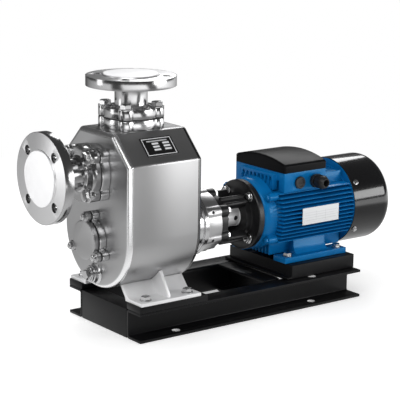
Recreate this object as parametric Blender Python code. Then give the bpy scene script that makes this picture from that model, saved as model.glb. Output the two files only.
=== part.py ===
"""Close-coupled self-priming centrifugal pump on a steel base frame, with its electric motor.

Metres, +Z up, +X along the shaft from the pump to the motor, -Y towards the cable entries.
Places are worked out from the discharge axis (x = 0) and the floor (z = 0). The empty
pump_set then moves everything so that the origin is under the middle of the whole set.
"""

from math import acos, asin, atan2, cos, hypot, pi, radians, sin, sqrt

import bmesh
import bpy
from mathutils import Matrix, Vector

# Clearance between pieces that touch
GAP = 0.0003

# Pipe flanges, DN50 at PN16
FLANGE_OD = 0.165
FLANGE_THICKNESS = 0.018
FLANGE_BOLT_CIRCLE = 0.125
FLANGE_HOLE = 0.018
FLANGE_HOLES = 4
RAISED_FACE_OD = 0.102
RAISED_FACE_HEIGHT = 0.002
PIPE_OD = 0.060
PIPE_BORE = 0.053
COVER_OD = 0.101
COVER_THICKNESS = 0.0015

# Bolted joint flanges between a nozzle and the casing
JOINT_DISC_OD = 0.101
JOINT_LOBE_RADIUS = 0.013
JOINT_BOLT_CIRCLE = 0.095
JOINT_THICKNESS = 0.0175
JOINT_GASKET = 0.0015
JOINT_HOLE = 0.0125

# Base frame: two folded channels, two cross-members, pads and the motor stand
BASE_LENGTH = 0.528
BASE_WIDTH = 0.236
BASE_END_TO_DISCHARGE = 0.060
CHANNEL_HEIGHT = 0.055
CHANNEL_FLANGE = 0.043
CHANNEL_PLATE = 0.005
CHANNEL_FOLD = 0.006
CROSS_FLANGE = 0.036
FLOOR_HOLE = 0.015
FLOOR_HOLE_FROM_END = 0.092
FLOOR_HOLE_SPACING = 0.325
PAD_THICKNESS = 0.012
PAD_LENGTH = 0.150
STAND_HEIGHT = 0.0277
STAND_WIDTH = 0.196
STAND_PLATE = 0.005
STAND_LIP = 0.012
STAND_LENGTH = 0.160
STAND_PAST_BOLTS = 0.0241

# Shaft line
STAND_CLEARANCE = 0.0005
SHAFT_RADIUS = 0.012

# Casing: a welded stainless box with a flat top, chamfered shoulders and a half-round bottom
CASING_HALF_WIDTH = 0.106
CASING_TOP_RISE = 0.1978
CASING_BOTTOM_DROP = 0.0932
CASING_TOP_HALF_WIDTH = 0.055
CASING_SHOULDER_RISE = 0.1478
CASING_FACE_FROM_DISCHARGE = 0.077
CASING_LENGTH = 0.162
CASING_WALL = 0.004
HEAD_WALL = 0.005
HEAD_RIM = 0.010
BOTTOM_STEPS = 18

# Pump feet
FOOT_LENGTH = 0.132
FOOT_PLATE = 0.006
FOOT_PLATE_EDGE = 0.0005
FOOT_PLATE_WIDTH = 0.051
FOOT_LEG_INSET = 0.016
FOOT_BOLT_INSET = 0.020
FOOT_BOLT_HOLE = 0.012
FOOT_BOLT_FROM_EDGE = 0.016
GUSSET_HEIGHT = 0.044

# Nozzles
SUCTION_RISE = 0.1235
SUCTION_REACH = 0.114
DISCHARGE_REACH = 0.094

# Cleanout port and drain on the suction head
CLEANOUT_COVER_RADIUS = 0.036
CLEANOUT_BORE = 0.025
CLEANOUT_LUG_RADIUS = 0.0095
CLEANOUT_LUG_CIRCLE = 0.088
CLEANOUT_LUGS = 3
CLEANOUT_LUG_TURN = 5.0
CLEANOUT_RING = 0.014
CLEANOUT_GASKET = 0.0015
CLEANOUT_COVER = 0.010
CLEANOUT_HOLE = 0.0085
DRAIN_BELOW_SHAFT = 0.066
DRAIN_BOSS_RADIUS = 0.016
DRAIN_BOSS_LENGTH = 0.012
DRAIN_BORE = 0.0095
DRAIN_HEX = 0.022
DRAIN_HEAD = 0.009

# Pump name plate, blank, on the front shoulder
PLATE_LENGTH = 0.067
PLATE_HEIGHT = 0.040
PLATE_THICKNESS = 0.001
PLATE_FROM_DISCHARGE = 0.005

# Non-return flap inside the suction head
FLAP_RADIUS = 0.033
FLAP_THICKNESS = 0.006
FLAP_PIVOT_RISE = 0.043
FLAP_PIVOT_OFFSET = 0.010
FLAP_PIN_RADIUS = 0.003
FLAP_EYE_RADIUS = 0.0065
FLAP_EYE_WIDTH = 0.020
FLAP_RUNNING = 0.0005
FLAP_EAR = 0.004

# Suction duct, volute and impeller
DUCT_HALF_WIDTH = 0.046
DUCT_TOP_RISE = 0.1808
DUCT_BOTTOM_DROP = 0.0532
DUCT_WALL = 0.003
DUCT_LENGTH = 0.096
EYE_RADIUS = 0.027
IMPELLER_RADIUS = 0.063
IMPELLER_DISC = 0.005
IMPELLER_HUB_RADIUS = 0.020
IMPELLER_HUB_LENGTH = 0.016
VANE_COUNT = 5
VANE_HEIGHT = 0.020
VANE_THICKNESS = 0.004
VANE_SWEEP = 75.0
VOLUTE_START_RADIUS = 0.069
VOLUTE_GROWTH = 0.014
VOLUTE_WALL = 0.0035
VOLUTE_LENGTH = 0.036
IMPELLER_NUT_RADIUS = 0.013
IMPELLER_NUT_LENGTH = 0.012

# Neck, seal plate and mechanical seal
NECK_RADIUS = 0.058
NECK_WALL = 0.005
NECK_LENGTH = 0.051
NECK_COLLAR = 0.009
NECK_COLLAR_RADIUS = 0.0615
SEAL_PLATE_LENGTH = 0.033
SEAL_PLATE_RADIUS = 0.057
SEAL_LOBE_RADIUS = 0.014
SEAL_LOBE_CIRCLE = 0.094
SEAL_LOBES = 6
SEAL_WALL = 0.006
SEAL_BORE = 0.021
SEAL_HOUSING_LENGTH = 0.034
SEAL_SEAT_LENGTH = 0.009
SEAL_RING_LENGTH = 0.016
SEAL_RUNNING = 0.0006

# Lantern between the seal plate and the motor
LANTERN_RING_RADIUS = 0.050
LANTERN_RING_BORE = 0.034
LANTERN_RING = 0.012
LANTERN_ARM_INNER = 0.036
LANTERN_ARM_OUTER = 0.048
LANTERN_ARM_HALF_WIDTH = 0.011
LANTERN_ARMS = 4
LANTERN_DISC_RADIUS = 0.068
LANTERN_DISC = 0.012
LANTERN_HUB_RADIUS = 0.052
LANTERN_HUB = 0.006
LANTERN_WINDOW = 0.063
LANTERN_BOLT_CIRCLE = 0.115
COUPLING_RADIUS = 0.0195
COUPLING_LENGTH = 0.056

# Motor, frame size 90L
MOTOR_CENTRE_HEIGHT = 0.090
BARREL_RADIUS = 0.068
BARREL_LENGTH = 0.180
STATOR_RADIUS = 0.060
SIDE_FIN_RADIUS = 0.088
SIDE_FINS = 13
SIDE_FIN_SPAN = 0.047
FIN_THICKNESS = 0.0026
TOP_FINS = 10
TOP_FIN_MARGIN = 0.0041
TOP_FIN_HEIGHT = 0.0700
BOTTOM_FIN_CLEARANCE = 0.012
SHIELD_FACE_RADIUS = 0.066
SHIELD_RADIUS = 0.083
SHIELD_LENGTH = 0.029
SHIELD_WALL = 0.006
SHIELD_LUG_RADIUS = 0.008
SHIELD_LUG_CIRCLE = 0.160
SHIELD_LUG_TURN = 30.0
BEARING_OD = 0.052
BEARING_WIDTH = 0.015
REAR_SHIELD_LENGTH = 0.025
MOTOR_FOOT_SPACING_X = 0.125
MOTOR_FOOT_SPACING_Y = 0.140
MOTOR_FOOT_SHOULDER = 0.056
MOTOR_FOOT_LENGTH = 0.156
MOTOR_FOOT_OUTER = 0.083
MOTOR_FOOT_INNER = 0.044
MOTOR_FOOT_THICKNESS = 0.011
MOTOR_FOOT_HOLE = 0.010
MOTOR_FOOT_WEB = 0.080

# Rotor and fan
ROTOR_CORE_RADIUS = 0.039
ROTOR_CORE_LENGTH = 0.110
STATOR_BORE = 0.0395
STATOR_LENGTH = 0.112
WINDING_LENGTH = 0.022
WINDING_RADIUS = 0.057
FAN_RADIUS = 0.070
FAN_HUB_RADIUS = 0.018
FAN_HUB_LENGTH = 0.022
FAN_DISC = 0.003
FAN_BLADE_WIDTH = 0.026
FAN_BLADES = 9
FAN_BLADE_THICKNESS = 0.003

# Fan cover
FAN_COVER_RADIUS = 0.0870
FAN_COVER_WALL = 0.0015
FAN_COVER_LENGTH = 0.104
FAN_COVER_CORNER = 0.026
FAN_COVER_STEPS = 3
GRILLE_RINGS = 3
GRILLE_FIRST_RADIUS = 0.018
GRILLE_PITCH = 0.0155
GRILLE_SLOT = 0.0070
GRILLE_BAR_ANGLE = 18.0
GRILLE_SECTORS = 3

# Terminal box
BOX_FROM_SHIELD = 0.0400
BOX_LENGTH = 0.104
BOX_HALF_WIDTH = 0.075
BOX_TOP_RISE = 0.0865
BOX_SKIRT_THICKNESS = 0.017
BOX_WALL = 0.004
LID_HEIGHT = 0.0155
LID_CROWN = 0.012
LID_WALL = 0.003
LID_OVERHANG = 0.001
LID_STEPS = 8
TERMINAL_BLOCK_SIZE = 0.050
TERMINAL_BLOCK_HEIGHT = 0.010
PLUG_RADIUS = 0.0120
PLUG_HEAD = 0.004
PLUG_FROM_BOX_END = 0.038
GLAND_FROM_BOX_END = 0.076
ENTRY_DROP = 0.021
GLAND_HEX = 0.028
GLAND_NECK_RADIUS = 0.0105
GLAND_DOME_RADIUS = 0.0125
GLAND_MOUTH_RADIUS = 0.0065
GLAND_LENGTH = 0.034
ENTRY_THREAD_RADIUS = 0.0095

# Motor name plate, blank
MOTOR_PLATE_LENGTH = 0.092
MOTOR_PLATE_HEIGHT = 0.033
MOTOR_PLATE_THICKNESS = 0.001
MOTOR_PLATE_FROM_SHIELD = 0.076

# Facets of round pieces
FINE = 24
MEDIUM = 16
COARSE = 10
LOBE_STEPS = 3

# Places along the shaft and above the floor
BASE_X0 = -BASE_END_TO_DISCHARGE
BASE_X1 = BASE_X0 + BASE_LENGTH
PAD_TOP = CHANNEL_HEIGHT + PAD_THICKNESS
SHAFT_HEIGHT = CHANNEL_HEIGHT + STAND_HEIGHT + STAND_CLEARANCE + MOTOR_CENTRE_HEIGHT
BOTTOM_FIN_HEIGHT = MOTOR_CENTRE_HEIGHT - BOTTOM_FIN_CLEARANCE
TOP_FIN_SPAN = sqrt(BARREL_RADIUS**2 - SIDE_FIN_SPAN**2) - TOP_FIN_MARGIN
CASING_TOP = SHAFT_HEIGHT + CASING_TOP_RISE
CASING_BOTTOM = SHAFT_HEIGHT - CASING_BOTTOM_DROP
CASING_SHOULDER = SHAFT_HEIGHT + CASING_SHOULDER_RISE
DISCHARGE_FACE = CASING_TOP + DISCHARGE_REACH
DUCT_TOP = SHAFT_HEIGHT + DUCT_TOP_RISE
DUCT_BOTTOM = SHAFT_HEIGHT - DUCT_BOTTOM_DROP
HEAD_X = -CASING_FACE_FROM_DISCHARGE
DRIVE_X = HEAD_X + CASING_LENGTH
SUCTION_Z = SHAFT_HEIGHT + SUCTION_RISE
SUCTION_FACE_X = HEAD_X - SUCTION_REACH
COLLAR_X = DRIVE_X + NECK_LENGTH
SEAL_X0 = COLLAR_X + GAP
SEAL_X1 = SEAL_X0 + SEAL_PLATE_LENGTH
LANTERN_X0 = SEAL_X1 + GAP
LANTERN_DISC_X = LANTERN_X0 + LANTERN_RING + LANTERN_WINDOW + LANTERN_HUB
MOTOR_X = LANTERN_DISC_X + LANTERN_DISC + GAP
BARREL_X0 = MOTOR_X + SHIELD_LENGTH + GAP
BARREL_X1 = BARREL_X0 + BARREL_LENGTH
MOTOR_FLOOR = SHAFT_HEIGHT - MOTOR_CENTRE_HEIGHT
STAND_X1 = MOTOR_X + MOTOR_FOOT_SHOULDER + MOTOR_FOOT_SPACING_X + STAND_PAST_BOLTS
FAN_COVER_X0 = BARREL_X1 + 2 * GAP + 0.004
FAN_COVER_X1 = FAN_COVER_X0 + FAN_COVER_LENGTH
SET_X0 = SUCTION_FACE_X - RAISED_FACE_HEIGHT - GAP - COVER_THICKNESS
SET_MIDDLE_X = (SET_X0 + FAN_COVER_X1) / 2

AXES = {"X": (1, 2, 0), "Y": (0, 2, 1), "Z": (0, 1, 2)}


def clear_scene():
    for obj in list(bpy.data.objects):
        bpy.data.objects.remove(obj, do_unlink=True)


def finish(name, colour, roughness, metallic):
    """A Principled material with one colour."""
    material = bpy.data.materials.new(name)
    material.use_nodes = True
    shader = material.node_tree.nodes["Principled BSDF"]
    shader.inputs["Base Color"].default_value = (*colour, 1)
    shader.inputs["Roughness"].default_value = roughness
    shader.inputs["Metallic"].default_value = metallic
    material.diffuse_color = (*colour, 1)
    return material


def make_object(name, bm, material, sharp=32):
    """The mesh as one object of the set, smooth except across edges sharper than this angle."""
    bmesh.ops.recalc_face_normals(bm, faces=bm.faces)
    mesh = bpy.data.meshes.new(name)
    bm.to_mesh(mesh)
    bm.free()
    mesh.shade_smooth()
    mesh.set_sharp_from_angle(angle=radians(sharp))
    obj = bpy.data.objects.new(name, mesh)
    bpy.context.scene.collection.objects.link(obj)
    obj.parent = bpy.data.objects["pump_set"]
    if material:
        mesh.materials.append(material)
    return obj


def place(axis, along, a, b):
    """The point at (a, b) across an axis and at this distance along it."""
    first, second, main = AXES[axis]
    point = [0.0, 0.0, 0.0]
    point[first], point[second], point[main] = a, b, along
    return Vector(point)


def add_prism(bm, axis, outline, low, high):
    """A closed outline across an axis, extruded from low to high."""
    verts = [bm.verts.new(place(axis, low, a, b)) for a, b in outline]
    face = bm.faces.new(verts)
    made = bmesh.ops.extrude_face_region(bm, geom=[face])
    moved = [v for v in made["geom"] if isinstance(v, bmesh.types.BMVert)]
    bmesh.ops.translate(bm, verts=moved, vec=place(axis, high - low, 0, 0))


def add_turned(bm, axis, centre, profile, steps, closed=True):
    """A profile of (along, radius) points spun about an axis. An open one ends on the axis."""
    first, second, main = AXES[axis]
    across = Vector((0, 0, 0))
    across[first] = 1
    along = Vector((0, 0, 0))
    along[main] = 1
    base = place(axis, 0, *centre)
    verts = [bm.verts.new(base + along * a + across * r) for a, r in profile]
    pairs = list(zip(verts, verts[1:]))
    if closed:
        pairs.append((verts[-1], verts[0]))
    edges = [bm.edges.new(pair) for pair in pairs]
    bmesh.ops.spin(
        bm, geom=verts + edges, cent=base, axis=along, angle=2 * pi, steps=steps, use_merge=True
    )
    bmesh.ops.remove_doubles(bm, verts=bm.verts, dist=1e-6)
    loose = [v for v in bm.verts if not v.link_faces]
    bmesh.ops.delete(bm, geom=loose, context="VERTS")


def rod(axis, centre, radius, low, high, steps=COARSE):
    bm = bmesh.new()
    add_prism(bm, axis, circle(centre, radius, steps), low, high)
    return bm


def rods(axis, centres, radius, low, high, steps=COARSE):
    bm = bmesh.new()
    for centre in centres:
        add_prism(bm, axis, circle(centre, radius, steps), low, high)
    return bm


def circle(centre, radius, steps, turn=0.0):
    a, b = centre
    angles = [2 * pi * i / steps + turn for i in range(steps)]
    return [(a + radius * cos(t), b + radius * sin(t)) for t in angles]


def ring_of(centre, radius, count, turn=0.0):
    """Centres of equal pieces on a circle, the first at this angle."""
    a, b = centre
    angles = [turn + 2 * pi * i / count for i in range(count)]
    return [(a + radius * cos(t), b + radius * sin(t)) for t in angles]


def hexagon(centre, across_flats, turn=0.0):
    return circle(centre, across_flats / sqrt(3), 6, turn)


def rectangle(a0, a1, b0, b1):
    return [(a0, b0), (a1, b0), (a1, b1), (a0, b1)]


def block(x0, x1, y0, y1, z0, z1):
    bm = bmesh.new()
    add_prism(bm, "Z", rectangle(x0, x1, y0, y1), z0, z1)
    return bm


def hidden(obj):
    obj.hide_render = True
    obj.display_type = "WIRE"
    return obj


def combine(target, operation, bm, label):
    """A Boolean on the target with a helper made from this mesh."""
    helper = hidden(make_object(target.name + "." + label, bm, None))
    modifier = target.modifiers.new(label, "BOOLEAN")
    modifier.operation = operation
    modifier.object = helper
    modifier.solver = "EXACT"


def cut(target, bm, label):
    combine(target, "DIFFERENCE", bm, label)


def fuse(target, bm, label):
    combine(target, "UNION", bm, label)


def soften(obj, width, segments=2, angle=40):
    bevel = obj.modifiers.new("edges", "BEVEL")
    bevel.width = width
    bevel.segments = segments
    bevel.limit_method = "ANGLE"
    bevel.angle_limit = radians(angle)


def lobed_outline(centre, disc_radius, lobe_radius, lobe_circle, lobes, turn, steps):
    """A disc with round lobes, as one outline: disc arcs and lobe arcs meet where they cross."""
    a, b = centre
    reach = lobe_circle / 2
    meet = acos((disc_radius**2 + reach**2 - lobe_radius**2) / (2 * disc_radius * reach))
    swing = pi - asin(disc_radius * sin(meet) / lobe_radius)
    if reach < disc_radius * cos(meet):
        swing = pi - swing
    points = []
    for i in range(lobes):
        middle = turn + 2 * pi * i / lobes
        for k in range(steps + 1):
            t = middle - swing + 2 * swing * k / steps
            points.append(
                (
                    a + reach * cos(middle) + lobe_radius * cos(t),
                    b + reach * sin(middle) + lobe_radius * sin(t),
                )
            )
        start = middle + meet
        span = 2 * pi / lobes - 2 * meet
        for k in range(1, steps):
            t = start + span * k / steps
            points.append((a + disc_radius * cos(t), b + disc_radius * sin(t)))
    return points


def casing_outline(inset):
    """The casing's (y, z) section, moved inwards all round by this much."""
    half = CASING_HALF_WIDTH - inset
    arc_z = CASING_BOTTOM + CASING_HALF_WIDTH
    run = CASING_HALF_WIDTH - CASING_TOP_HALF_WIDTH
    rise = CASING_TOP - CASING_SHOULDER
    slant = hypot(run, rise)
    shoulder = CASING_SHOULDER + inset * (rise - slant) / run
    top_half = CASING_TOP_HALF_WIDTH + inset * (run - slant) / rise
    top = CASING_TOP - inset
    points = [(half, shoulder), (top_half, top), (-top_half, top), (-half, shoulder)]
    for i in range(BOTTOM_STEPS + 1):
        t = pi + pi * i / BOTTOM_STEPS
        points.append((half * cos(t), arc_z + half * sin(t)))
    return points


def add_loft(bm, loops, cap_first=True, cap_last=True):
    """Bridges loops of equally many points in turn."""
    made = [[bm.verts.new(p) for p in loop] for loop in loops]
    count = len(made[0])
    for low, high in zip(made, made[1:]):
        for i in range(count):
            j = (i + 1) % count
            bm.faces.new((low[i], low[j], high[j], high[i]))
    if cap_first:
        bm.faces.new(made[0])
    if cap_last:
        bm.faces.new(made[-1])


def channel_outline(side):
    """A folded channel's (y, z) section, web inside and flanges outwards, on the -1 or +1 side."""
    web_in = BASE_WIDTH / 2 - CHANNEL_FLANGE
    web_out = web_in + CHANNEL_PLATE
    edge = BASE_WIDTH / 2
    fold = CHANNEL_FOLD
    inner_top = CHANNEL_HEIGHT - CHANNEL_PLATE
    points = [(web_in + fold, 0), (edge, 0), (edge, CHANNEL_PLATE)]
    quarter = [i * pi / 6 for i in range(4)]
    small = fold / 2
    points += [
        (web_out + small - small * sin(t), CHANNEL_PLATE + small - small * cos(t)) for t in quarter
    ]
    points += [
        (web_out + small - small * cos(t), inner_top - small + small * sin(t)) for t in quarter
    ]
    points += [(edge, inner_top), (edge, CHANNEL_HEIGHT), (web_in + fold, CHANNEL_HEIGHT)]
    points += [
        (web_in + fold - fold * sin(t), CHANNEL_HEIGHT - fold + fold * cos(t)) for t in quarter[1:]
    ]
    points += [(web_in + fold - fold * cos(t), fold - fold * sin(t)) for t in quarter[:-1]]
    return [(side * y, z) for y, z in points]


def make_base(black):
    """Long channels with floor holes, end cross-members and the pump's pads."""
    flange_middle = BASE_WIDTH / 2 - (CHANNEL_FLANGE - CHANNEL_PLATE) / 2
    hole_x = [BASE_X0 + FLOOR_HOLE_FROM_END, BASE_X0 + FLOOR_HOLE_FROM_END + FLOOR_HOLE_SPACING]
    for side, name in ((-1, "front"), (1, "rear")):
        bm = bmesh.new()
        add_prism(bm, "X", channel_outline(side), BASE_X0, BASE_X1)
        channel = make_object(name + "_channel", bm, black)
        centres = [(x, side * flange_middle) for x in hole_x]
        holes = rods("Z", centres, FLOOR_HOLE / 2, -CHANNEL_PLATE, 2 * CHANNEL_PLATE)
        cut(channel, holes, "floor_holes")
        y = (side * (BASE_WIDTH / 2 - CHANNEL_FLANGE), side * BASE_WIDTH / 2)
        bm = block(
            BASE_X0, BASE_X0 + PAD_LENGTH, min(y), max(y), CHANNEL_HEIGHT + GAP, PAD_TOP
        )
        make_object(name + "_pump_pad", bm, black)
    inside = BASE_WIDTH / 2 - CHANNEL_FLANGE - GAP
    t = CHANNEL_PLATE
    stand_edge = STAND_X1 - STAND_LENGTH - STAND_LIP - GAP
    for end, way, name in ((BASE_X0, 1, "left"), (stand_edge, -1, "middle"), (BASE_X1, -1, "right")):
        outline = [
            (end, 0),
            (end + way * CROSS_FLANGE, 0),
            (end + way * CROSS_FLANGE, t),
            (end + way * t, t),
            (end + way * t, CHANNEL_HEIGHT - t),
            (end + way * CROSS_FLANGE, CHANNEL_HEIGHT - t),
            (end + way * CROSS_FLANGE, CHANNEL_HEIGHT),
            (end, CHANNEL_HEIGHT),
        ]
        bm = bmesh.new()
        add_prism(bm, "Y", outline, -inside, inside)
        make_object(name + "_cross_member", bm, black)


def make_motor_stand(black):
    """A folded pan, open below, that lifts the motor to the pump's shaft line."""
    x1 = STAND_X1
    x0 = x1 - STAND_LENGTH
    z0 = CHANNEL_HEIGHT + GAP
    z1 = CHANNEL_HEIGHT + STAND_HEIGHT
    half = STAND_WIDTH / 2
    t = STAND_PLATE
    stand = make_object("motor_stand", block(x0, x1, -half, half, z0, z1), black)
    fuse(stand, block(x0 - STAND_LIP, x0 + t / 2, -half, half, z0, z0 + t), "lip")
    cut(stand, block(x0 + t, x1 - t, t - half, half - t, z0 - t, z1 - t), "hollow")
    cut(stand, rods("Z", motor_bolts(), MOTOR_FOOT_HOLE / 2, z1 - 2 * t, z1 + t), "bolt_holes")


def motor_bolts():
    first = MOTOR_X + MOTOR_FOOT_SHOULDER
    half = MOTOR_FOOT_SPACING_Y / 2
    return [(first + i * MOTOR_FOOT_SPACING_X, side * half) for i in (0, 1) for side in (-1, 1)]


def make_head(name, face_x, way, material):
    """A pressed end of the casing: flat face, rounded rim. way is +1 when the casing lies at +X."""
    steps = 3

    def loop(inset, depth):
        return [place("X", face_x + way * depth, y, z) for y, z in casing_outline(inset)]

    outer = []
    inner = []
    for i in range(steps + 1):
        t = pi / 2 * i / steps
        outer.append(loop(HEAD_RIM * (1 - cos(t)), HEAD_RIM * (1 - sin(t))))
        small = HEAD_RIM - HEAD_WALL
        inner.append(loop(HEAD_RIM - small * cos(t), HEAD_RIM - small * sin(t)))
    bm = bmesh.new()
    add_loft(bm, outer[::-1] + inner)
    return make_object(name, bm, material)


def make_casing(steel):
    """Shell, suction head and drive head."""
    bm = bmesh.new()
    x0 = HEAD_X + HEAD_RIM + GAP
    x1 = DRIVE_X - HEAD_RIM - GAP
    loops = [
        [place("X", x, y, z) for y, z in casing_outline(inset)]
        for x, inset in ((x0, CASING_WALL), (x0, 0), (x1, 0), (x1, CASING_WALL))
    ]
    add_loft(bm, loops + [loops[0]], False, False)
    bmesh.ops.remove_doubles(bm, verts=bm.verts, dist=1e-6)
    shell = make_object("casing_shell", bm, steel)
    above = 2 * CASING_WALL
    port = rod("Z", (0, 0), PIPE_BORE / 2, CASING_TOP - above, CASING_TOP + above, MEDIUM)
    cut(shell, port, "port")

    head = make_head("suction_head", HEAD_X, 1, steel)
    depth = 2 * HEAD_WALL
    cut(head, rod("X", (0, SUCTION_Z), PIPE_BORE / 2, HEAD_X - depth, HEAD_X + depth, MEDIUM), "inlet")
    cut(head, rod("X", (0, SHAFT_HEIGHT), CLEANOUT_BORE, HEAD_X - depth, HEAD_X + depth, MEDIUM), "cleanout")
    drain = (0, SHAFT_HEIGHT - DRAIN_BELOW_SHAFT)
    cut(head, rod("X", drain, DRAIN_BORE, HEAD_X - depth, HEAD_X + depth), "drain")

    drive = make_head("drive_head", DRIVE_X, -1, steel)
    bore = NECK_RADIUS - NECK_WALL
    cut(drive, rod("X", (0, SHAFT_HEIGHT), bore, DRIVE_X - depth, DRIVE_X + depth, FINE), "neck_bore")


def shell_at(y):
    """Height of the casing's round bottom at this distance from the middle."""
    arc_z = CASING_BOTTOM + CASING_HALF_WIDTH
    return arc_z - sqrt(CASING_HALF_WIDTH**2 - y**2)


def make_feet(steel):
    """Each foot is a plate on the pad, a leg leaning in to the shell and a gusset."""
    middle = HEAD_X + HEAD_RIM + (CASING_LENGTH - 2 * HEAD_RIM) / 2 + 0.005
    x0 = middle - FOOT_LENGTH / 2
    x1 = middle + FOOT_LENGTH / 2
    z0 = PAD_TOP + GAP
    z1 = z0 + FOOT_PLATE
    out = BASE_WIDTH / 2 - FOOT_PLATE_EDGE
    inner = out - FOOT_PLATE_WIDTH
    leg_top = inner - FOOT_LEG_INSET
    meet = shell_at(leg_top) - 2 * GAP
    lean = shell_at(leg_top + FOOT_PLATE) - 2 * GAP
    for side, name in ((-1, "front"), (1, "rear")):
        section = [
            (out, z0),
            (out, z1),
            (inner + 2 * FOOT_PLATE, z1),
            (leg_top + FOOT_PLATE, lean),
            (leg_top, meet),
            (inner, z1),
            (inner, z0),
        ]
        bm = bmesh.new()
        add_prism(bm, "X", [(side * y, z) for y, z in section], x0, x1)
        foot = make_object(name + "_pump_foot", bm, steel)
        foot_y = out - FOOT_BOLT_FROM_EDGE
        centres = [(x, side * foot_y) for x in (x0 + FOOT_BOLT_INSET, x1 - FOOT_BOLT_INSET)]
        cut(foot, rods("Z", centres, FOOT_BOLT_HOLE / 2, z0 - FOOT_PLATE, z1 + FOOT_PLATE), "bolt_holes")
        reach = sqrt(CASING_HALF_WIDTH**2 - (CASING_BOTTOM + CASING_HALF_WIDTH - z1 - GUSSET_HEIGHT) ** 2)
        count = 4
        start = leg_top + FOOT_PLATE / 2
        edge = [start + (reach - start) * i / count for i in range(count + 1)]
        rib = [(y, shell_at(y) - 2 * GAP) for y in edge]
        rib += [(out - FOOT_PLATE, z1 + FOOT_PLATE), (out - FOOT_PLATE, z0 + FOOT_PLATE / 2)]
        rib += [(inner + FOOT_PLATE, z0 + FOOT_PLATE / 2)]
        bm = bmesh.new()
        half = FOOT_PLATE / 2
        add_prism(bm, "X", [(side * y, z) for y, z in rib], middle - half, middle + half)
        fuse(foot, bm, "gusset")


def nozzle(name, axis, centre, face, joint, steel):
    """Pipe flange with raised face, neck and lobed joint flange. face and joint are its two ends."""
    way = 1 if face > joint else -1
    bore = PIPE_BORE / 2
    neck = PIPE_OD / 2
    rim = FLANGE_OD / 2
    back = face - way * FLANGE_THICKNESS
    joint_face = joint + way * JOINT_THICKNESS
    fillet = 0.003
    profile = [
        (joint + way * fillet, bore),
        (joint + way * fillet, neck),
        (back - way * fillet, neck),
        (back, neck + fillet),
        (back, rim),
        (face, rim),
        (face, RAISED_FACE_OD / 2),
        (face + way * RAISED_FACE_HEIGHT, RAISED_FACE_OD / 2),
        (face + way * RAISED_FACE_HEIGHT, bore),
    ]
    bm = bmesh.new()
    add_turned(bm, axis, centre, profile, FINE)
    piece = make_object(name, bm, steel)
    bm = bmesh.new()
    outline = lobed_outline(
        centre,
        JOINT_DISC_OD / 2,
        JOINT_LOBE_RADIUS,
        JOINT_BOLT_CIRCLE,
        4,
        pi / 4,
        LOBE_STEPS,
    )
    add_prism(bm, axis, outline, min(joint, joint_face), max(joint, joint_face))
    fuse(piece, bm, "joint_flange")
    low, high = sorted((joint - way * JOINT_THICKNESS, back))
    cut(piece, rod(axis, centre, bore, low, high, FINE), "bore")
    holes = ring_of(centre, FLANGE_BOLT_CIRCLE / 2, FLANGE_HOLES, pi / FLANGE_HOLES)
    low, high = sorted((back - way * FLANGE_THICKNESS, face + way * FLANGE_THICKNESS))
    cut(piece, rods(axis, holes, FLANGE_HOLE / 2, low, high), "bolt_holes")
    cut_joint_holes(piece, axis, centre, joint, joint_face)
    return piece


def cut_joint_holes(piece, axis, centre, low, high):
    holes = ring_of(centre, JOINT_BOLT_CIRCLE / 2, 4, pi / 4)
    low, high = sorted((low, high))
    reach = JOINT_THICKNESS / 4
    cut(piece, rods(axis, holes, JOINT_HOLE / 2, low - reach, high + reach, 8), "joint_holes")


def joint_ring(name, axis, centre, low, high, material):
    """A lobed flange or gasket of the bolted joint."""
    outline = lobed_outline(
        centre, JOINT_DISC_OD / 2, JOINT_LOBE_RADIUS, JOINT_BOLT_CIRCLE, 4, pi / 4, LOBE_STEPS
    )
    low, high = sorted((low, high))
    bm = bmesh.new()
    add_prism(bm, axis, outline, low, high)
    ring = make_object(name, bm, material)
    over = JOINT_THICKNESS / 2
    cut(ring, rod(axis, centre, PIPE_BORE / 2, low - over, high + over, FINE), "bore")
    cut_joint_holes(ring, axis, centre, low, high)


def make_nozzles(steel, rubber, white):
    """Suction and discharge: body flange, gasket, nozzle and the blank cover on its face."""
    for name, axis, centre, face, surface in (
        ("suction", "X", (0, SUCTION_Z), SUCTION_FACE_X, HEAD_X),
        ("discharge", "Z", (0, 0), DISCHARGE_FACE, CASING_TOP),
    ):
        way = 1 if face > surface else -1
        body0 = surface + way * GAP
        body1 = body0 + way * JOINT_THICKNESS
        gasket0 = body1 + way * GAP
        gasket1 = gasket0 + way * JOINT_GASKET
        joint_ring(name + "_body_flange", axis, centre, body0, body1, steel)
        joint_ring(name + "_gasket", axis, centre, gasket0, gasket1, rubber)
        nozzle(name + "_nozzle", axis, centre, face, gasket1 + way * GAP, steel)
        low = face + way * (RAISED_FACE_HEIGHT + GAP)
        high = low + way * COVER_THICKNESS
        edge = COVER_THICKNESS / 3
        radius = COVER_OD / 2
        profile = [(low, 0), (low, radius), (high - way * edge, radius), (high, radius - edge), (high, 0)]
        bm = bmesh.new()
        add_turned(bm, axis, centre, profile, FINE, closed=False)
        make_object(name + "_blank_cover", bm, white)


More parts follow.
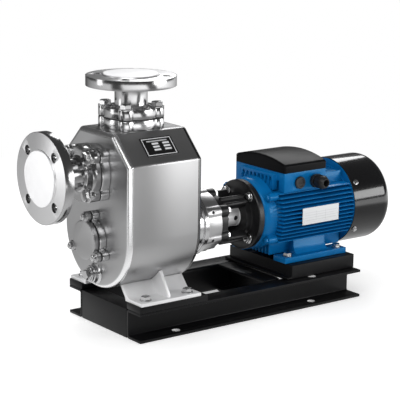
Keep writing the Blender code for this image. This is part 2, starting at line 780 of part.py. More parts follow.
def make_cleanout(steel, rubber):
    """Welded ring, gasket and cover with three lugs, in line with the shaft."""
    centre = (0, SHAFT_HEIGHT)
    turn = pi / 2 + radians(CLEANOUT_LUG_TURN)
    outline = lobed_outline(
        centre,
        CLEANOUT_COVER_RADIUS,
        CLEANOUT_LUG_RADIUS,
        CLEANOUT_LUG_CIRCLE,
        CLEANOUT_LUGS,
        turn,
        2 * LOBE_STEPS,
    )
    lugs = ring_of(centre, CLEANOUT_LUG_CIRCLE / 2, CLEANOUT_LUGS, turn)
    ring0 = HEAD_X - GAP
    ring1 = ring0 - CLEANOUT_RING
    seal0 = ring1 - GAP
    seal1 = seal0 - CLEANOUT_GASKET
    cover0 = seal1 - GAP
    cover1 = cover0 - CLEANOUT_COVER
    for name, high, low, material in (
        ("cleanout_ring", ring0, ring1, steel),
        ("cleanout_gasket", seal0, seal1, rubber),
        ("cleanout_cover", cover0, cover1, steel),
    ):
        bm = bmesh.new()
        add_prism(bm, "X", outline, low, high)
        piece = make_object(name, bm, material)
        if name == "cleanout_cover":
            soften(piece, 0.002, 1)
        else:
            cut(piece, rod("X", centre, CLEANOUT_BORE, low - 0.01, high + 0.01, MEDIUM), "bore")
        cut(piece, rods("X", lugs, CLEANOUT_HOLE / 2, low - 0.01, high + 0.01, 8), "lug_holes")


def make_drain(steel):
    """Round boss and hexagon plug near the bottom of the suction head."""
    centre = (0, SHAFT_HEIGHT - DRAIN_BELOW_SHAFT)
    boss0 = HEAD_X - GAP
    boss1 = boss0 - DRAIN_BOSS_LENGTH
    r = DRAIN_BOSS_RADIUS
    edge = 0.0015
    profile = [(boss0, DRAIN_BORE), (boss0, r), (boss1 + edge, r), (boss1, r - edge), (boss1, DRAIN_BORE)]
    bm = bmesh.new()
    add_turned(bm, "X", centre, profile, MEDIUM)
    make_object("drain_boss", bm, steel)
    shank = DRAIN_BORE - GAP
    head0 = boss1 - GAP
    collar = 0.003
    collar_r = DRAIN_HEX / 2 + 0.002
    profile = [
        (HEAD_X, 0),
        (HEAD_X, shank),
        (head0, shank),
        (head0, collar_r),
        (head0 - collar, collar_r),
        (head0 - collar, 0),
    ]
    bm = bmesh.new()
    add_turned(bm, "X", centre, profile, MEDIUM, closed=False)
    plug = make_object("drain_plug", bm, steel)
    bm = bmesh.new()
    add_prism(bm, "X", hexagon(centre, DRAIN_HEX), head0 - collar - DRAIN_HEAD, head0 - collar / 2)
    fuse(plug, bm, "hexagon")


def make_pump_plate(plate):
    """A blank plate lying on the front shoulder of the casing."""
    run = CASING_HALF_WIDTH - CASING_TOP_HALF_WIDTH
    rise = CASING_TOP - CASING_SHOULDER
    lift = PLATE_THICKNESS / 2 + GAP
    slope = atan2(rise, run)
    half_x = PLATE_LENGTH / 2
    half_y = PLATE_HEIGHT / 2
    half_z = PLATE_THICKNESS / 2
    bm = block(-half_x, half_x, -half_y, half_y, -half_z, half_z)
    obj = make_object("pump_name_plate", bm, plate)
    obj.location = (
        PLATE_FROM_DISCHARGE,
        -(CASING_TOP_HALF_WIDTH + run / 2) - lift * sin(slope),
        CASING_SHOULDER + rise / 2 + lift * cos(slope),
    )
    obj.rotation_euler = (slope, 0, 0)


def make_check_valve(steel, rubber):
    """Non-return flap on its pin, with two ears on the head that hold the pin."""
    pivot_z = SUCTION_Z + FLAP_PIVOT_RISE
    inside = HEAD_X + HEAD_WALL
    pivot_x = inside + FLAP_PIVOT_OFFSET
    empty = bpy.data.objects.new("flap_hinge", None)
    bpy.context.scene.collection.objects.link(empty)
    empty.parent = bpy.data.objects["pump_set"]
    empty.location = (pivot_x, 0, pivot_z)

    face0 = inside + GAP - pivot_x
    face1 = face0 + FLAP_THICKNESS
    drop = -FLAP_PIVOT_RISE
    edge = 0.001
    profile = [
        (face0, 0),
        (face0, FLAP_RADIUS - edge),
        (face0 + edge, FLAP_RADIUS),
        (face1 - edge, FLAP_RADIUS),
        (face1, FLAP_RADIUS - edge),
        (face1, 0),
    ]
    bm = bmesh.new()
    add_turned(bm, "X", (0, drop), profile, MEDIUM, closed=False)
    flap = make_object("check_flap", bm, rubber)
    flap.parent = empty
    half = FLAP_EYE_WIDTH / 2
    bm = bmesh.new()
    add_prism(bm, "Y", circle((0, 0), FLAP_EYE_RADIUS, COARSE), -half, half)
    fuse(flap, bm, "eye")
    arm = 0.007
    bm = bmesh.new()
    add_prism(bm, "X", rectangle(-arm, arm, drop / 2, -FLAP_PIN_RADIUS), face0 + edge, FLAP_EYE_RADIUS - edge)
    fuse(flap, bm, "arm")
    bm = bmesh.new()
    bore = FLAP_PIN_RADIUS + FLAP_RUNNING
    add_prism(bm, "Y", circle((0, 0), bore, COARSE), -2 * half, 2 * half)
    cut(flap, bm, "bore")
    for name in ("eye", "arm", "bore"):
        bpy.data.objects["check_flap." + name].parent = empty

    reach = half + FLAP_RUNNING + FLAP_EAR
    pin = rod("Y", (pivot_x, pivot_z), FLAP_PIN_RADIUS, -reach, reach)
    make_object("flap_pin", pin, steel)
    head = bpy.data.objects["suction_head"]
    ear_r = FLAP_EYE_RADIUS
    root = HEAD_X + HEAD_WALL / 2
    for side, name in ((-1, "front"), (1, "rear")):
        y0, y1 = sorted((side * (half + FLAP_RUNNING), side * reach))
        bm = bmesh.new()
        outline = [(root, pivot_z + ear_r), (root, pivot_z - ear_r)]
        outline += [
            (pivot_x + ear_r * cos(t), pivot_z + ear_r * sin(t))
            for t in [-pi / 2 + pi * i / 4 for i in range(5)]
        ]
        add_prism(bm, "Y", outline, y0, y1)
        fuse(head, bm, name + "_ear")
    hole = rod("Y", (pivot_x, pivot_z), FLAP_PIN_RADIUS + GAP, -2 * reach, 2 * reach)
    cut(head, hole, "pin_hole")


def make_suction_duct(steel):
    """Inner chamber from the inlet down to the impeller's eye, open towards the suction head."""
    x0 = HEAD_X + HEAD_WALL + GAP
    x1 = x0 + DUCT_LENGTH
    w = DUCT_HALF_WIDTH
    t = DUCT_WALL
    duct = make_object("suction_duct", block(x0, x1, -w, w, DUCT_BOTTOM, DUCT_TOP), steel)
    hollow = block(x0 - t, x1 - t, t - w, w - t, DUCT_BOTTOM + t, DUCT_TOP - t)
    cut(duct, hollow, "hollow")
    cut(duct, rod("X", (0, SHAFT_HEIGHT), EYE_RADIUS, x1 - 2 * t, x1 + t, MEDIUM), "eye")
    return x1


def spiral(start, growth, steps, inset):
    """A volute's outline about the shaft: the radius grows once round, then steps back."""
    points = []
    for i in range(steps + 1):
        t = i / steps
        radius = start + growth * t - inset
        angle = pi / 2 + 2 * pi * t
        points.append((radius * cos(angle), SHAFT_HEIGHT + radius * sin(angle)))
    return points


def make_volute(steel, x0):
    """Spiral casing round the impeller, with the eye at the front and the outlet at the top."""
    x1 = x0 + VOLUTE_LENGTH
    t = VOLUTE_WALL
    steps = 30
    bm = bmesh.new()
    add_prism(bm, "X", spiral(VOLUTE_START_RADIUS, VOLUTE_GROWTH, steps, 0), x0, x1)
    volute = make_object("volute", bm, steel)
    bm = bmesh.new()
    add_prism(bm, "X", spiral(VOLUTE_START_RADIUS, VOLUTE_GROWTH, steps, t), x0 + t, x1 + t)
    cut(volute, bm, "hollow")
    cut(volute, rod("X", (0, SHAFT_HEIGHT), EYE_RADIUS, x0 - t, x0 + 2 * t, MEDIUM), "eye")
    top = SHAFT_HEIGHT + VOLUTE_START_RADIUS + VOLUTE_GROWTH
    mouth = 0.030
    middle = (x0 + x1) / 2
    outlet = block(middle - mouth / 3, middle + mouth / 3, t, mouth + t, top - mouth, top + mouth)
    cut(volute, outlet, "outlet")
    return x0 + t, x1


def vane_outline(inner, outer, thickness, start):
    """One backward-curved vane as a closed outline round the shaft."""
    steps = 5
    sides = ([], [])
    for i in range(steps + 1):
        share = i / steps
        radius = inner + (outer - inner) * share
        angle = start - radians(VANE_SWEEP) * share
        half = thickness / 2 / radius
        for points, way in zip(sides, (-1, 1)):
            t = angle + way * half
            points.append((radius * cos(t), SHAFT_HEIGHT + radius * sin(t)))
    return sides[0] + sides[1][::-1]


def make_impeller(steel, front, back):
    """Semi-open impeller and its nut. front and back are the walls on either side of it."""
    shaft = SHAFT_RADIUS + GAP
    disc1 = back - 0.006
    disc0 = disc1 - IMPELLER_DISC
    hub0 = disc0 - IMPELLER_HUB_LENGTH
    slim = 0.006
    profile = [
        (disc1, shaft),
        (disc1, IMPELLER_RADIUS),
        (disc0, IMPELLER_RADIUS),
        (disc0, IMPELLER_HUB_RADIUS + slim),
        (disc0 - slim, IMPELLER_HUB_RADIUS),
        (hub0, IMPELLER_HUB_RADIUS - slim / 2),
        (hub0, shaft),
    ]
    bm = bmesh.new()
    add_turned(bm, "X", (0, SHAFT_HEIGHT), profile, FINE)
    impeller = make_object("impeller", bm, steel)
    bm = bmesh.new()
    for i in range(VANE_COUNT):
        start = 2 * pi * i / VANE_COUNT
        outline = vane_outline(IMPELLER_HUB_RADIUS - slim / 2, IMPELLER_RADIUS - GAP, VANE_THICKNESS, start)
        add_prism(bm, "X", outline, disc0 - VANE_HEIGHT, disc0 + IMPELLER_DISC / 2)
    fuse(impeller, bm, "vanes")
    nut1 = hub0 - GAP
    nut0 = nut1 - IMPELLER_NUT_LENGTH
    bm = bmesh.new()
    add_prism(bm, "X", hexagon((0, SHAFT_HEIGHT), 2 * IMPELLER_NUT_RADIUS), nut0, nut1)
    nut = make_object("impeller_nut", bm, steel)
    soften(nut, 0.001, 1)
    thread = SHAFT_RADIUS * 0.6
    cut(nut, rod("X", (0, SHAFT_HEIGHT), thread + GAP, nut0 + 0.003, nut1 + 0.002, MEDIUM), "thread")
    return nut0 + 0.003, hub0, disc1, thread


def make_drive_end(steel, black, ceramic):
    """Neck ring, seal plate, mechanical seal and the lantern that carries the motor."""
    axis = (0, SHAFT_HEIGHT)
    r = NECK_RADIUS
    x0 = DRIVE_X + GAP
    step = COLLAR_X - NECK_COLLAR
    profile = [
        (x0, r - NECK_WALL),
        (x0, r),
        (step, r),
        (step, NECK_COLLAR_RADIUS),
        (COLLAR_X, NECK_COLLAR_RADIUS),
        (COLLAR_X, r - NECK_WALL),
    ]
    bm = bmesh.new()
    add_turned(bm, "X", axis, profile, FINE)
    make_object("drive_neck", bm, steel)

    back = HEAD_X + HEAD_WALL + GAP + DUCT_LENGTH + GAP + VOLUTE_LENGTH + GAP
    spigot = r - NECK_WALL - GAP
    w = SEAL_WALL
    bm = bmesh.new()
    outline = lobed_outline(
        axis, SEAL_PLATE_RADIUS, SEAL_LOBE_RADIUS, SEAL_LOBE_CIRCLE, SEAL_LOBES, pi / SEAL_LOBES, LOBE_STEPS
    )
    add_prism(bm, "X", outline, SEAL_X0, SEAL_X1)
    plate = make_object("seal_plate", bm, steel)
    cut(plate, rod("X", axis, spigot - w - 0.001, SEAL_X0 - w, SEAL_X1 + w, FINE), "hollow")
    housing = back + SEAL_HOUSING_LENGTH
    lip = SEAL_BORE - 0.006
    profile = [
        (back, lip),
        (back, spigot),
        (SEAL_X0 + w / 2, spigot),
        (SEAL_X0 + w / 2, spigot - w),
        (back + w, spigot - w),
        (back + w, SEAL_BORE + w),
        (housing, SEAL_BORE + w),
        (housing, SEAL_BORE),
        (back + w, SEAL_BORE),
        (back + w, lip),
    ]
    bm = bmesh.new()
    add_turned(bm, "X", axis, profile, FINE)
    fuse(plate, bm, "spigot")

    seat0 = back + w + GAP
    seat1 = seat0 + SEAL_SEAT_LENGTH
    shaft = SHAFT_RADIUS
    profile = [
        (seat0, shaft + SEAL_RUNNING),
        (seat0, SEAL_BORE - GAP),
        (seat1, SEAL_BORE - GAP),
        (seat1, shaft + SEAL_RUNNING),
    ]
    bm = bmesh.new()
    add_turned(bm, "X", axis, profile, FINE)
    make_object("seal_seat", bm, ceramic)
    ring0 = seat1 + GAP
    ring1 = ring0 + SEAL_RING_LENGTH
    profile = [
        (ring0, shaft + GAP),
        (ring0, SEAL_BORE - 0.004),
        (ring0 + 0.003, SEAL_BORE - 0.004),
        (ring0 + 0.004, SEAL_BORE - 0.002),
        (ring1, SEAL_BORE - 0.002),
        (ring1, shaft + GAP),
    ]
    bm = bmesh.new()
    add_turned(bm, "X", axis, profile, MEDIUM)
    make_object("seal_ring", bm, black)
    make_lantern(black)
    return back


def arm_outline(turn):
    """One lantern arm's (y, z) section at this angle round the shaft."""
    w = LANTERN_ARM_HALF_WIDTH
    edge = 0.003
    low = LANTERN_ARM_INNER
    high = LANTERN_ARM_OUTER
    section = [(low, -w), (high - edge, -w), (high, edge - w), (high, w - edge), (high - edge, w), (low, w)]
    return [
        (r * cos(turn) - a * sin(turn), SHAFT_HEIGHT + r * sin(turn) + a * cos(turn)) for r, a in section
    ]


def make_lantern(black):
    """Cast lantern: bolting ring, four arms, hub and the disc on the motor's face."""
    axis = (0, SHAFT_HEIGHT)
    x0 = LANTERN_X0
    ring1 = x0 + LANTERN_RING
    hub0 = LANTERN_DISC_X - LANTERN_HUB
    disc1 = LANTERN_DISC_X + LANTERN_DISC
    profile = [
        (hub0, LANTERN_RING_BORE),
        (hub0, LANTERN_HUB_RADIUS),
        (LANTERN_DISC_X, LANTERN_HUB_RADIUS),
        (LANTERN_DISC_X, LANTERN_DISC_RADIUS),
        (disc1, LANTERN_DISC_RADIUS),
        (disc1, LANTERN_RING_BORE),
    ]
    bm = bmesh.new()
    add_turned(bm, "X", axis, profile, FINE)
    lantern = make_object("lantern", bm, black)
    profile = [
        (x0, LANTERN_RING_BORE),
        (x0, LANTERN_RING_RADIUS),
        (ring1, LANTERN_RING_RADIUS),
        (ring1, LANTERN_RING_BORE),
    ]
    arms = bmesh.new()
    for i in range(LANTERN_ARMS):
        t = 2 * pi * (i + 0.5) / LANTERN_ARMS
        add_prism(arms, "X", arm_outline(t), ring1 - LANTERN_RING / 2, hub0 + LANTERN_HUB / 2)
    fuse(lantern, arms, "arms")
    bm = bmesh.new()
    add_turned(bm, "X", axis, profile, FINE)
    fuse(lantern, bm, "bolting_ring")
    holes = ring_of(axis, LANTERN_BOLT_CIRCLE / 2, 4, pi / 4)
    cut(lantern, rods("X", holes, 0.0045, LANTERN_DISC_X - 0.01, disc1 + 0.01, 8), "bolt_holes")


def make_rotor(steel, iron, copper, plastic, shaft_tip, hub0, impeller_back, thread):
    """Everything that turns, apart from the impeller, its nut and the seal ring."""
    axis = (0, SHAFT_HEIGHT)
    spinner = bpy.data.objects.new("shaft_line", None)
    bpy.context.scene.collection.objects.link(spinner)
    spinner.parent = bpy.data.objects["pump_set"]
    spinner.location = (0, 0, SHAFT_HEIGHT)

    ring1 = LANTERN_X0 + LANTERN_RING
    coupling0 = ring1 + (LANTERN_WINDOW - COUPLING_LENGTH) / 2
    coupling1 = coupling0 + COUPLING_LENGTH
    split = (coupling0 + coupling1) / 2
    s = SHAFT_RADIUS
    profile = [
        (shaft_tip + GAP, 0),
        (shaft_tip + GAP, thread),
        (hub0, thread),
        (hub0, s),
        (split - GAP, s),
        (split - GAP, 0),
    ]
    bm = bmesh.new()
    add_turned(bm, "X", axis, profile, MEDIUM, closed=False)
    make_object("pump_shaft", bm, steel)

    edge = 0.0015
    r = COUPLING_RADIUS
    profile = [
        (coupling0, s + GAP),
        (coupling0, r - edge),
        (coupling0 + edge, r),
        (coupling1 - edge, r),
        (coupling1, r - edge),
        (coupling1, s + GAP),
    ]
    bm = bmesh.new()
    add_turned(bm, "X", axis, profile, FINE)
    coupling = make_object("coupling_sleeve", bm, steel)
    screws = bmesh.new()
    for x in (coupling0 + COUPLING_LENGTH / 4, coupling1 - COUPLING_LENGTH / 4):
        add_prism(screws, "Y", circle((x, SHAFT_HEIGHT), 0.005, 8), -2 * r, -s - 0.003)
    cut(coupling, screws, "screw_pockets")

    bearing0, rear_bearing0 = bearing_places()
    core0 = BARREL_X0 + (BARREL_LENGTH - ROTOR_CORE_LENGTH) / 2
    core1 = core0 + ROTOR_CORE_LENGTH
    journal = s + 0.0005
    body = s + 0.004
    fan0 = rear_bearing0 + BEARING_WIDTH + 0.012
    profile = [
        (split + GAP, 0),
        (split + GAP, s),
        (bearing0 - 0.002, s),
        (bearing0 - 0.002, journal),
        (bearing0 + BEARING_WIDTH + GAP, journal),
        (bearing0 + BEARING_WIDTH + GAP, body),
        (rear_bearing0 - GAP, body),
        (rear_bearing0 - GAP, journal),
        (fan0 - 0.002, journal),
        (fan0 - 0.002, s - 0.002),
        (fan0 + FAN_HUB_LENGTH, s - 0.002),
        (fan0 + FAN_HUB_LENGTH, 0),
    ]
    bm = bmesh.new()
    add_turned(bm, "X", axis, profile, MEDIUM, closed=False)
    make_object("motor_shaft", bm, steel)

    profile = [
        (core0, body + GAP),
        (core0, ROTOR_CORE_RADIUS),
        (core1, ROTOR_CORE_RADIUS),
        (core1, body + GAP),
    ]
    bm = bmesh.new()
    add_turned(bm, "X", axis, profile, MEDIUM)
    make_object("rotor_core", bm, iron)

    make_fan(plastic, fan0, s - 0.002)
    for name in ("impeller", "impeller_nut", "seal_ring", "pump_shaft", "coupling_sleeve"):
        ride(name, spinner)
    for name in ("motor_shaft", "rotor_core", "fan"):
        ride(name, spinner)


def ride(name, parent):
    """Puts a piece, and its Boolean helpers, on a moving parent without moving them."""
    for obj in bpy.data.objects:
        if obj.name == name or obj.name.startswith(name + "."):
            obj.parent = parent
            obj.matrix_parent_inverse = Matrix.Translation(-parent.location)


def bearing_places():
    front = MOTOR_X + SHIELD_LENGTH - SHIELD_WALL - BEARING_WIDTH
    rear = BARREL_X1 + GAP + 0.004
    return front, rear


def make_fan(plastic, x0, bore):
    axis = (0, SHAFT_HEIGHT)
    x1 = x0 + FAN_HUB_LENGTH
    profile = [
        (x0, bore + GAP),
        (x0, FAN_RADIUS - 0.004),
        (x0 + FAN_DISC, FAN_RADIUS - 0.004),
        (x0 + FAN_DISC, FAN_HUB_RADIUS),
        (x1, FAN_HUB_RADIUS - 0.002),
        (x1, bore + GAP),
    ]
    bm = bmesh.new()
    add_turned(bm, "X", axis, profile, MEDIUM)
    fan = make_object("fan", bm, plastic)
    blades = bmesh.new()
    half = FAN_BLADE_THICKNESS / 2
    inner = FAN_HUB_RADIUS - 0.003
    for i in range(FAN_BLADES):
        t = 2 * pi * i / FAN_BLADES
        outline = []
        for radius, way in ((inner, -1), (FAN_RADIUS, -1), (FAN_RADIUS, 1), (inner, 1)):
            y = radius * cos(t) - way * half * sin(t)
            z = radius * sin(t) + way * half * cos(t)
            outline.append((y, SHAFT_HEIGHT + z))
        add_prism(blades, "X", outline, x0 + FAN_DISC / 2, x0 + FAN_BLADE_WIDTH)
    fuse(fan, blades, "blades")


def finned_outline():
    """The motor barrel's (y, z) section: level fins at the sides, upright ones above and below."""
    r = BARREL_RADIUS
    half = FIN_THICKNESS / 2
    side_z = [-SIDE_FIN_SPAN + 2 * SIDE_FIN_SPAN * i / (SIDE_FINS - 1) for i in range(SIDE_FINS)]
    top_y = [TOP_FIN_SPAN - 2 * TOP_FIN_SPAN * i / (TOP_FINS - 1) for i in range(TOP_FINS)]
    points = []

    def root(a):
        return sqrt(r**2 - a**2)

    for side, heights in ((1, side_z), (-1, side_z[::-1])):
        way = half if side > 0 else -half
        for z in heights:
            tip = sqrt(SIDE_FIN_RADIUS**2 - z**2)
            points += [
                (side * root(z - way), z - way),
                (side * tip, z - way),
                (side * tip, z + way),
                (side * root(z + way), z + way),
            ]
        places = top_y if side > 0 else top_y[::-1]
        height = TOP_FIN_HEIGHT if side > 0 else BOTTOM_FIN_HEIGHT
        for y in places:
            points += [
                (y + way, side * root(y + way)),
                (y + way, side * height),
                (y - way, side * height),
                (y - way, side * root(y - way)),
            ]
    return [(y, SHAFT_HEIGHT + z) for y, z in points]


def make_motor_body(blue, iron, copper, bearing_steel):
    """Finned barrel, end shields, stator, windings and bearings."""
    axis = (0, SHAFT_HEIGHT)
    bm = bmesh.new()
    add_prism(bm, "X", finned_outline(), BARREL_X0, BARREL_X1)
    barrel = make_object("motor_barrel", bm, blue)
    bore = rod("X", axis, STATOR_RADIUS + GAP, BARREL_X0 - 0.01, BARREL_X1 + 0.01, FINE)
    cut(barrel, bore, "bore")

    front, rear = bearing_places()
    pocket = BEARING_OD / 2 + GAP
    opening = BEARING_OD / 2 - 0.005
    x1 = MOTOR_X + SHIELD_LENGTH
    w = SHIELD_WALL
    profile = [
        (MOTOR_X, opening),
        (MOTOR_X, SHIELD_FACE_RADIUS),
        (MOTOR_X + 0.004, SHIELD_FACE_RADIUS + 0.003),
        (MOTOR_X + 0.018, SHIELD_RADIUS - 0.004),
        (MOTOR_X + 0.023, SHIELD_RADIUS),
        (x1, SHIELD_RADIUS),
        (x1, STATOR_RADIUS),
        (MOTOR_X + 0.008 + w, STATOR_RADIUS - 0.006),
        (MOTOR_X + w, pocket + w),
        (front + BEARING_WIDTH, pocket + w),
        (front + BEARING_WIDTH, pocket),
        (front - GAP, pocket),
        (front - GAP, opening),
    ]
    bm = bmesh.new()
    add_turned(bm, "X", axis, profile, FINE)
    shield = make_object("drive_shield", bm, blue)
    lug_angles = [radians(SHIELD_LUG_TURN), pi - radians(SHIELD_LUG_TURN)]
    lug_angles += [-t for t in lug_angles]
    reach = SHIELD_LUG_CIRCLE / 2
    lugs = [(reach * cos(t), SHAFT_HEIGHT + reach * sin(t)) for t in lug_angles]
    fuse(shield, rods("X", lugs, SHIELD_LUG_RADIUS, MOTOR_X + 0.009, x1), "lugs")

    x0 = BARREL_X1 + GAP
    x1 = x0 + REAR_SHIELD_LENGTH
    r = FAN_COVER_RADIUS - FAN_COVER_WALL - GAP
    neck = BARREL_RADIUS + 0.004
    profile = [
        (x0, STATOR_RADIUS),
        (x0, neck),
        (x0 + 0.003 + GAP, neck),
        (x0 + 0.003 + GAP, r),
        (x1, r),
        (x1, r - w),
        (x0 + 0.012, r - w),
        (x0 + 0.012, pocket + w),
        (rear + BEARING_WIDTH, pocket + w),
        (rear + BEARING_WIDTH + 0.004, pocket),
        (rear + BEARING_WIDTH + 0.004, SHAFT_RADIUS + 0.0015),
        (rear + BEARING_WIDTH + GAP, SHAFT_RADIUS + 0.0015),
        (rear + BEARING_WIDTH + GAP, pocket),
        (x0, pocket),
    ]
    bm = bmesh.new()
    add_turned(bm, "X", axis, profile, FINE)
    make_object("rear_shield", bm, blue)

    for name, place_x in (("drive_bearing", front), ("rear_bearing", rear)):
        inner = SHAFT_RADIUS + 0.0005 + GAP
        r = BEARING_OD / 2
        groove = 0.0008
        profile = [
            (place_x, inner),
            (place_x, inner + 0.005),
            (place_x + groove, inner + 0.005),
            (place_x + groove, r - 0.005),
            (place_x, r - 0.005),
            (place_x, r),
            (place_x + BEARING_WIDTH, r),
            (place_x + BEARING_WIDTH, inner),
        ]
        bm = bmesh.new()
        add_turned(bm, "X", axis, profile, FINE)
        make_object(name, bm, bearing_steel)

    middle = (BARREL_X0 + BARREL_X1) / 2
    x0 = middle - STATOR_LENGTH / 2
    x1 = middle + STATOR_LENGTH / 2
    ring("stator_core", x0, x1, STATOR_BORE + GAP, STATOR_RADIUS, iron)
    ring("front_winding", x0 - GAP - WINDING_LENGTH, x0 - GAP, STATOR_BORE + 0.003, WINDING_RADIUS, copper)
    ring("rear_winding", x1 + GAP, x1 + GAP + WINDING_LENGTH, STATOR_BORE + 0.003, WINDING_RADIUS, copper)


def ring(name, x0, x1, inner, outer, material):
    profile = [(x0, inner), (x0, outer), (x1, outer), (x1, inner)]
    bm = bmesh.new()
    add_turned(bm, "X", (0, SHAFT_HEIGHT), profile, FINE)
    make_object(name, bm, material)


def make_motor_feet(blue):
    """Bolted-on feet: a plate with two bolt holes and a web up to the barrel."""
    bolts = motor_bolts()
    first = bolts[0][0]
    middle = first + MOTOR_FOOT_SPACING_X / 2
    x0 = middle - MOTOR_FOOT_LENGTH / 2
    x1 = middle + MOTOR_FOOT_LENGTH / 2
    z0 = MOTOR_FLOOR + GAP
    z1 = z0 + MOTOR_FOOT_THICKNESS
    side_fin = SHAFT_HEIGHT - SIDE_FIN_SPAN - FIN_THICKNESS / 2 - GAP
    bottom_fin = TOP_FIN_SPAN + FIN_THICKNESS / 2 + GAP
    inner = max(MOTOR_FOOT_INNER, bottom_fin)
    web_out = inner + 0.013
    for side, name in ((-1, "front"), (1, "rear")):
        y = sorted((side * inner, side * MOTOR_FOOT_OUTER))
        foot = make_object(name + "_motor_foot", block(x0, x1, *y, z0, z1), blue)
        soften(foot, 0.002, 1)
        top = side_fin
        seat = sqrt((BARREL_RADIUS + GAP) ** 2 - inner**2)
        section = [
            (inner, z1 - 0.004),
            (inner + 0.026, z1 - 0.004),
            (web_out, z1 + 0.012),
            (web_out, top),
            (inner + 0.001, min(top, SHAFT_HEIGHT - seat)),
            (inner, min(top, SHAFT_HEIGHT - seat) - 0.002),
        ]
        bm = bmesh.new()
        half = MOTOR_FOOT_WEB / 2
        add_prism(bm, "X", [(side * a, b) for a, b in section], middle - half, middle + half)
        fuse(foot, bm, "web")
        own = [bolt for bolt in bolts if bolt[1] * side > 0]
        cut(foot, rods("Z", own, MOTOR_FOOT_HOLE / 2, z0 - 0.01, z1 + 0.02), "bolt_holes")


def make_fan_cover(gloss):
    """Deep-drawn cover with a round corner and a grille of ring-shaped slots in its end."""
    axis = (0, SHAFT_HEIGHT)
    r = FAN_COVER_RADIUS
    w = FAN_COVER_WALL
    x0, x1 = FAN_COVER_X0, FAN_COVER_X1
    corner = FAN_COVER_CORNER
    angles = [pi / 2 * i / FAN_COVER_STEPS for i in range(FAN_COVER_STEPS + 1)]
    outer = [(x1 - corner + corner * sin(t), r - corner + corner * cos(t)) for t in angles]
    inside = corner - w
    inner = [(x1 - corner + inside * sin(t), r - corner + inside * cos(t)) for t in angles]
    centre_hole = GRILLE_FIRST_RADIUS - GRILLE_PITCH / 2
    profile = [(x0, r - w), (x0, r)] + outer + [(x1, centre_hole), (x1 - w, centre_hole)]
    profile += inner[::-1]
    bm = bmesh.new()
    add_turned(bm, "X", axis, profile, FINE)
    cover = make_object("fan_cover", bm, gloss)
    slots = bmesh.new()
    bar = radians(GRILLE_BAR_ANGLE)
    for ring_index in range(GRILLE_RINGS):
        middle = GRILLE_FIRST_RADIUS + ring_index * GRILLE_PITCH
        low = middle - GRILLE_SLOT / 2
        high = middle + GRILLE_SLOT / 2
        steps = 3 + ring_index
        for sector in range(GRILLE_SECTORS):
            start = 2 * pi * sector / GRILLE_SECTORS + bar / 2
            span = 2 * pi / GRILLE_SECTORS - bar
            turn = [start + span * k / steps for k in range(steps + 1)]
            outline = [(low * cos(t), SHAFT_HEIGHT + low * sin(t)) for t in turn]
            outline += [(high * cos(t), SHAFT_HEIGHT + high * sin(t)) for t in turn[::-1]]
            add_prism(slots, "X", outline, x1 - 3 * w, x1 + 3 * w)
    cut(cover, slots, "grille")


def box_places():
    x0 = MOTOR_X + BOX_FROM_SHIELD
    return x0, x0 + BOX_LENGTH, SHAFT_HEIGHT + BOX_TOP_RISE


def make_terminal_box(blue, black, plastic):
    """Box with a skirt on its cable side, arched lid, terminal block, gland and blanking plug."""
    x0, x1, top = box_places()
    half = BOX_HALF_WIDTH
    floor = SHAFT_HEIGHT + TOP_FIN_HEIGHT + GAP
    skirt = SHAFT_HEIGHT + SIDE_FIN_SPAN + FIN_THICKNESS / 2 + 2 * GAP
    w = BOX_WALL
    inner = half - BOX_SKIRT_THICKNESS
    section = [
        (-half, skirt),
        (-inner, skirt),
        (-inner, floor),
        (inner, floor),
        (inner, skirt),
        (half, skirt),
        (half, top),
        (-half, top),
    ]
    bm = bmesh.new()
    add_prism(bm, "X", section, x0, x1)
    box = make_object("terminal_box", bm, blue)
    soften(box, 0.0015, 1)
    cut(box, block(x0 + w, x1 - w, w - half, half - w, floor + w, top + w), "hollow")
    pockets = bmesh.new()
    low = skirt + w
    add_prism(pockets, "Z", rectangle(x0 + w, x1 - w, w - half, -inner - w), low, top + w)
    cut(box, pockets, "front_pocket")
    entry_z = top - ENTRY_DROP
    entries = [(x0 + PLUG_FROM_BOX_END, entry_z), (x0 + GLAND_FROM_BOX_END, entry_z)]
    cut(box, rods("Y", entries, ENTRY_THREAD_RADIUS + GAP, -half - w, 2 * w - half, MEDIUM), "entries")

    over = LID_OVERHANG
    lid0 = top + GAP
    edge_z = lid0 + LID_HEIGHT

    def arch(inset):
        span = half + over - inset
        radius = (span**2 + LID_CROWN**2) / (2 * LID_CROWN)
        sweep = asin(span / radius)
        crown_z = edge_z - inset + LID_CROWN
        angles = [-sweep + 2 * sweep * i / LID_STEPS for i in range(LID_STEPS + 1)]
        return [(radius * sin(t), crown_z - radius * (1 - cos(t))) for t in angles]

    bm = bmesh.new()
    outline = arch(0) + [(half + over, lid0), (-half - over, lid0)]
    add_prism(bm, "X", outline, x0 - over, x1 + over)
    lid = make_object("terminal_lid", bm, black)
    soften(lid, 0.0025, 1, 50)
    t = LID_WALL
    inside = half + over - t
    bm = bmesh.new()
    add_prism(bm, "X", arch(t) + [(inside, lid0 - t), (-inside, lid0 - t)], x0 - over + t, x1 + over - t)
    cut(lid, bm, "hollow")

    middle = (x0 + x1) / 2
    size = TERMINAL_BLOCK_SIZE / 2
    base = floor + w + GAP
    terminal = make_object(
        "terminal_block", block(middle - size, middle + size, -size, size, base, base + TERMINAL_BLOCK_HEIGHT), plastic
    )
    step = TERMINAL_BLOCK_SIZE / 3
    studs = [(middle + i * step, j * step) for i in (-1, 0, 1) for j in (-0.5, 0.5)]
    high = base + TERMINAL_BLOCK_HEIGHT
    fuse(terminal, rods("Z", studs, 0.002, high - 0.002, high + 0.008, 8), "studs")
    make_entries(entries, plastic)


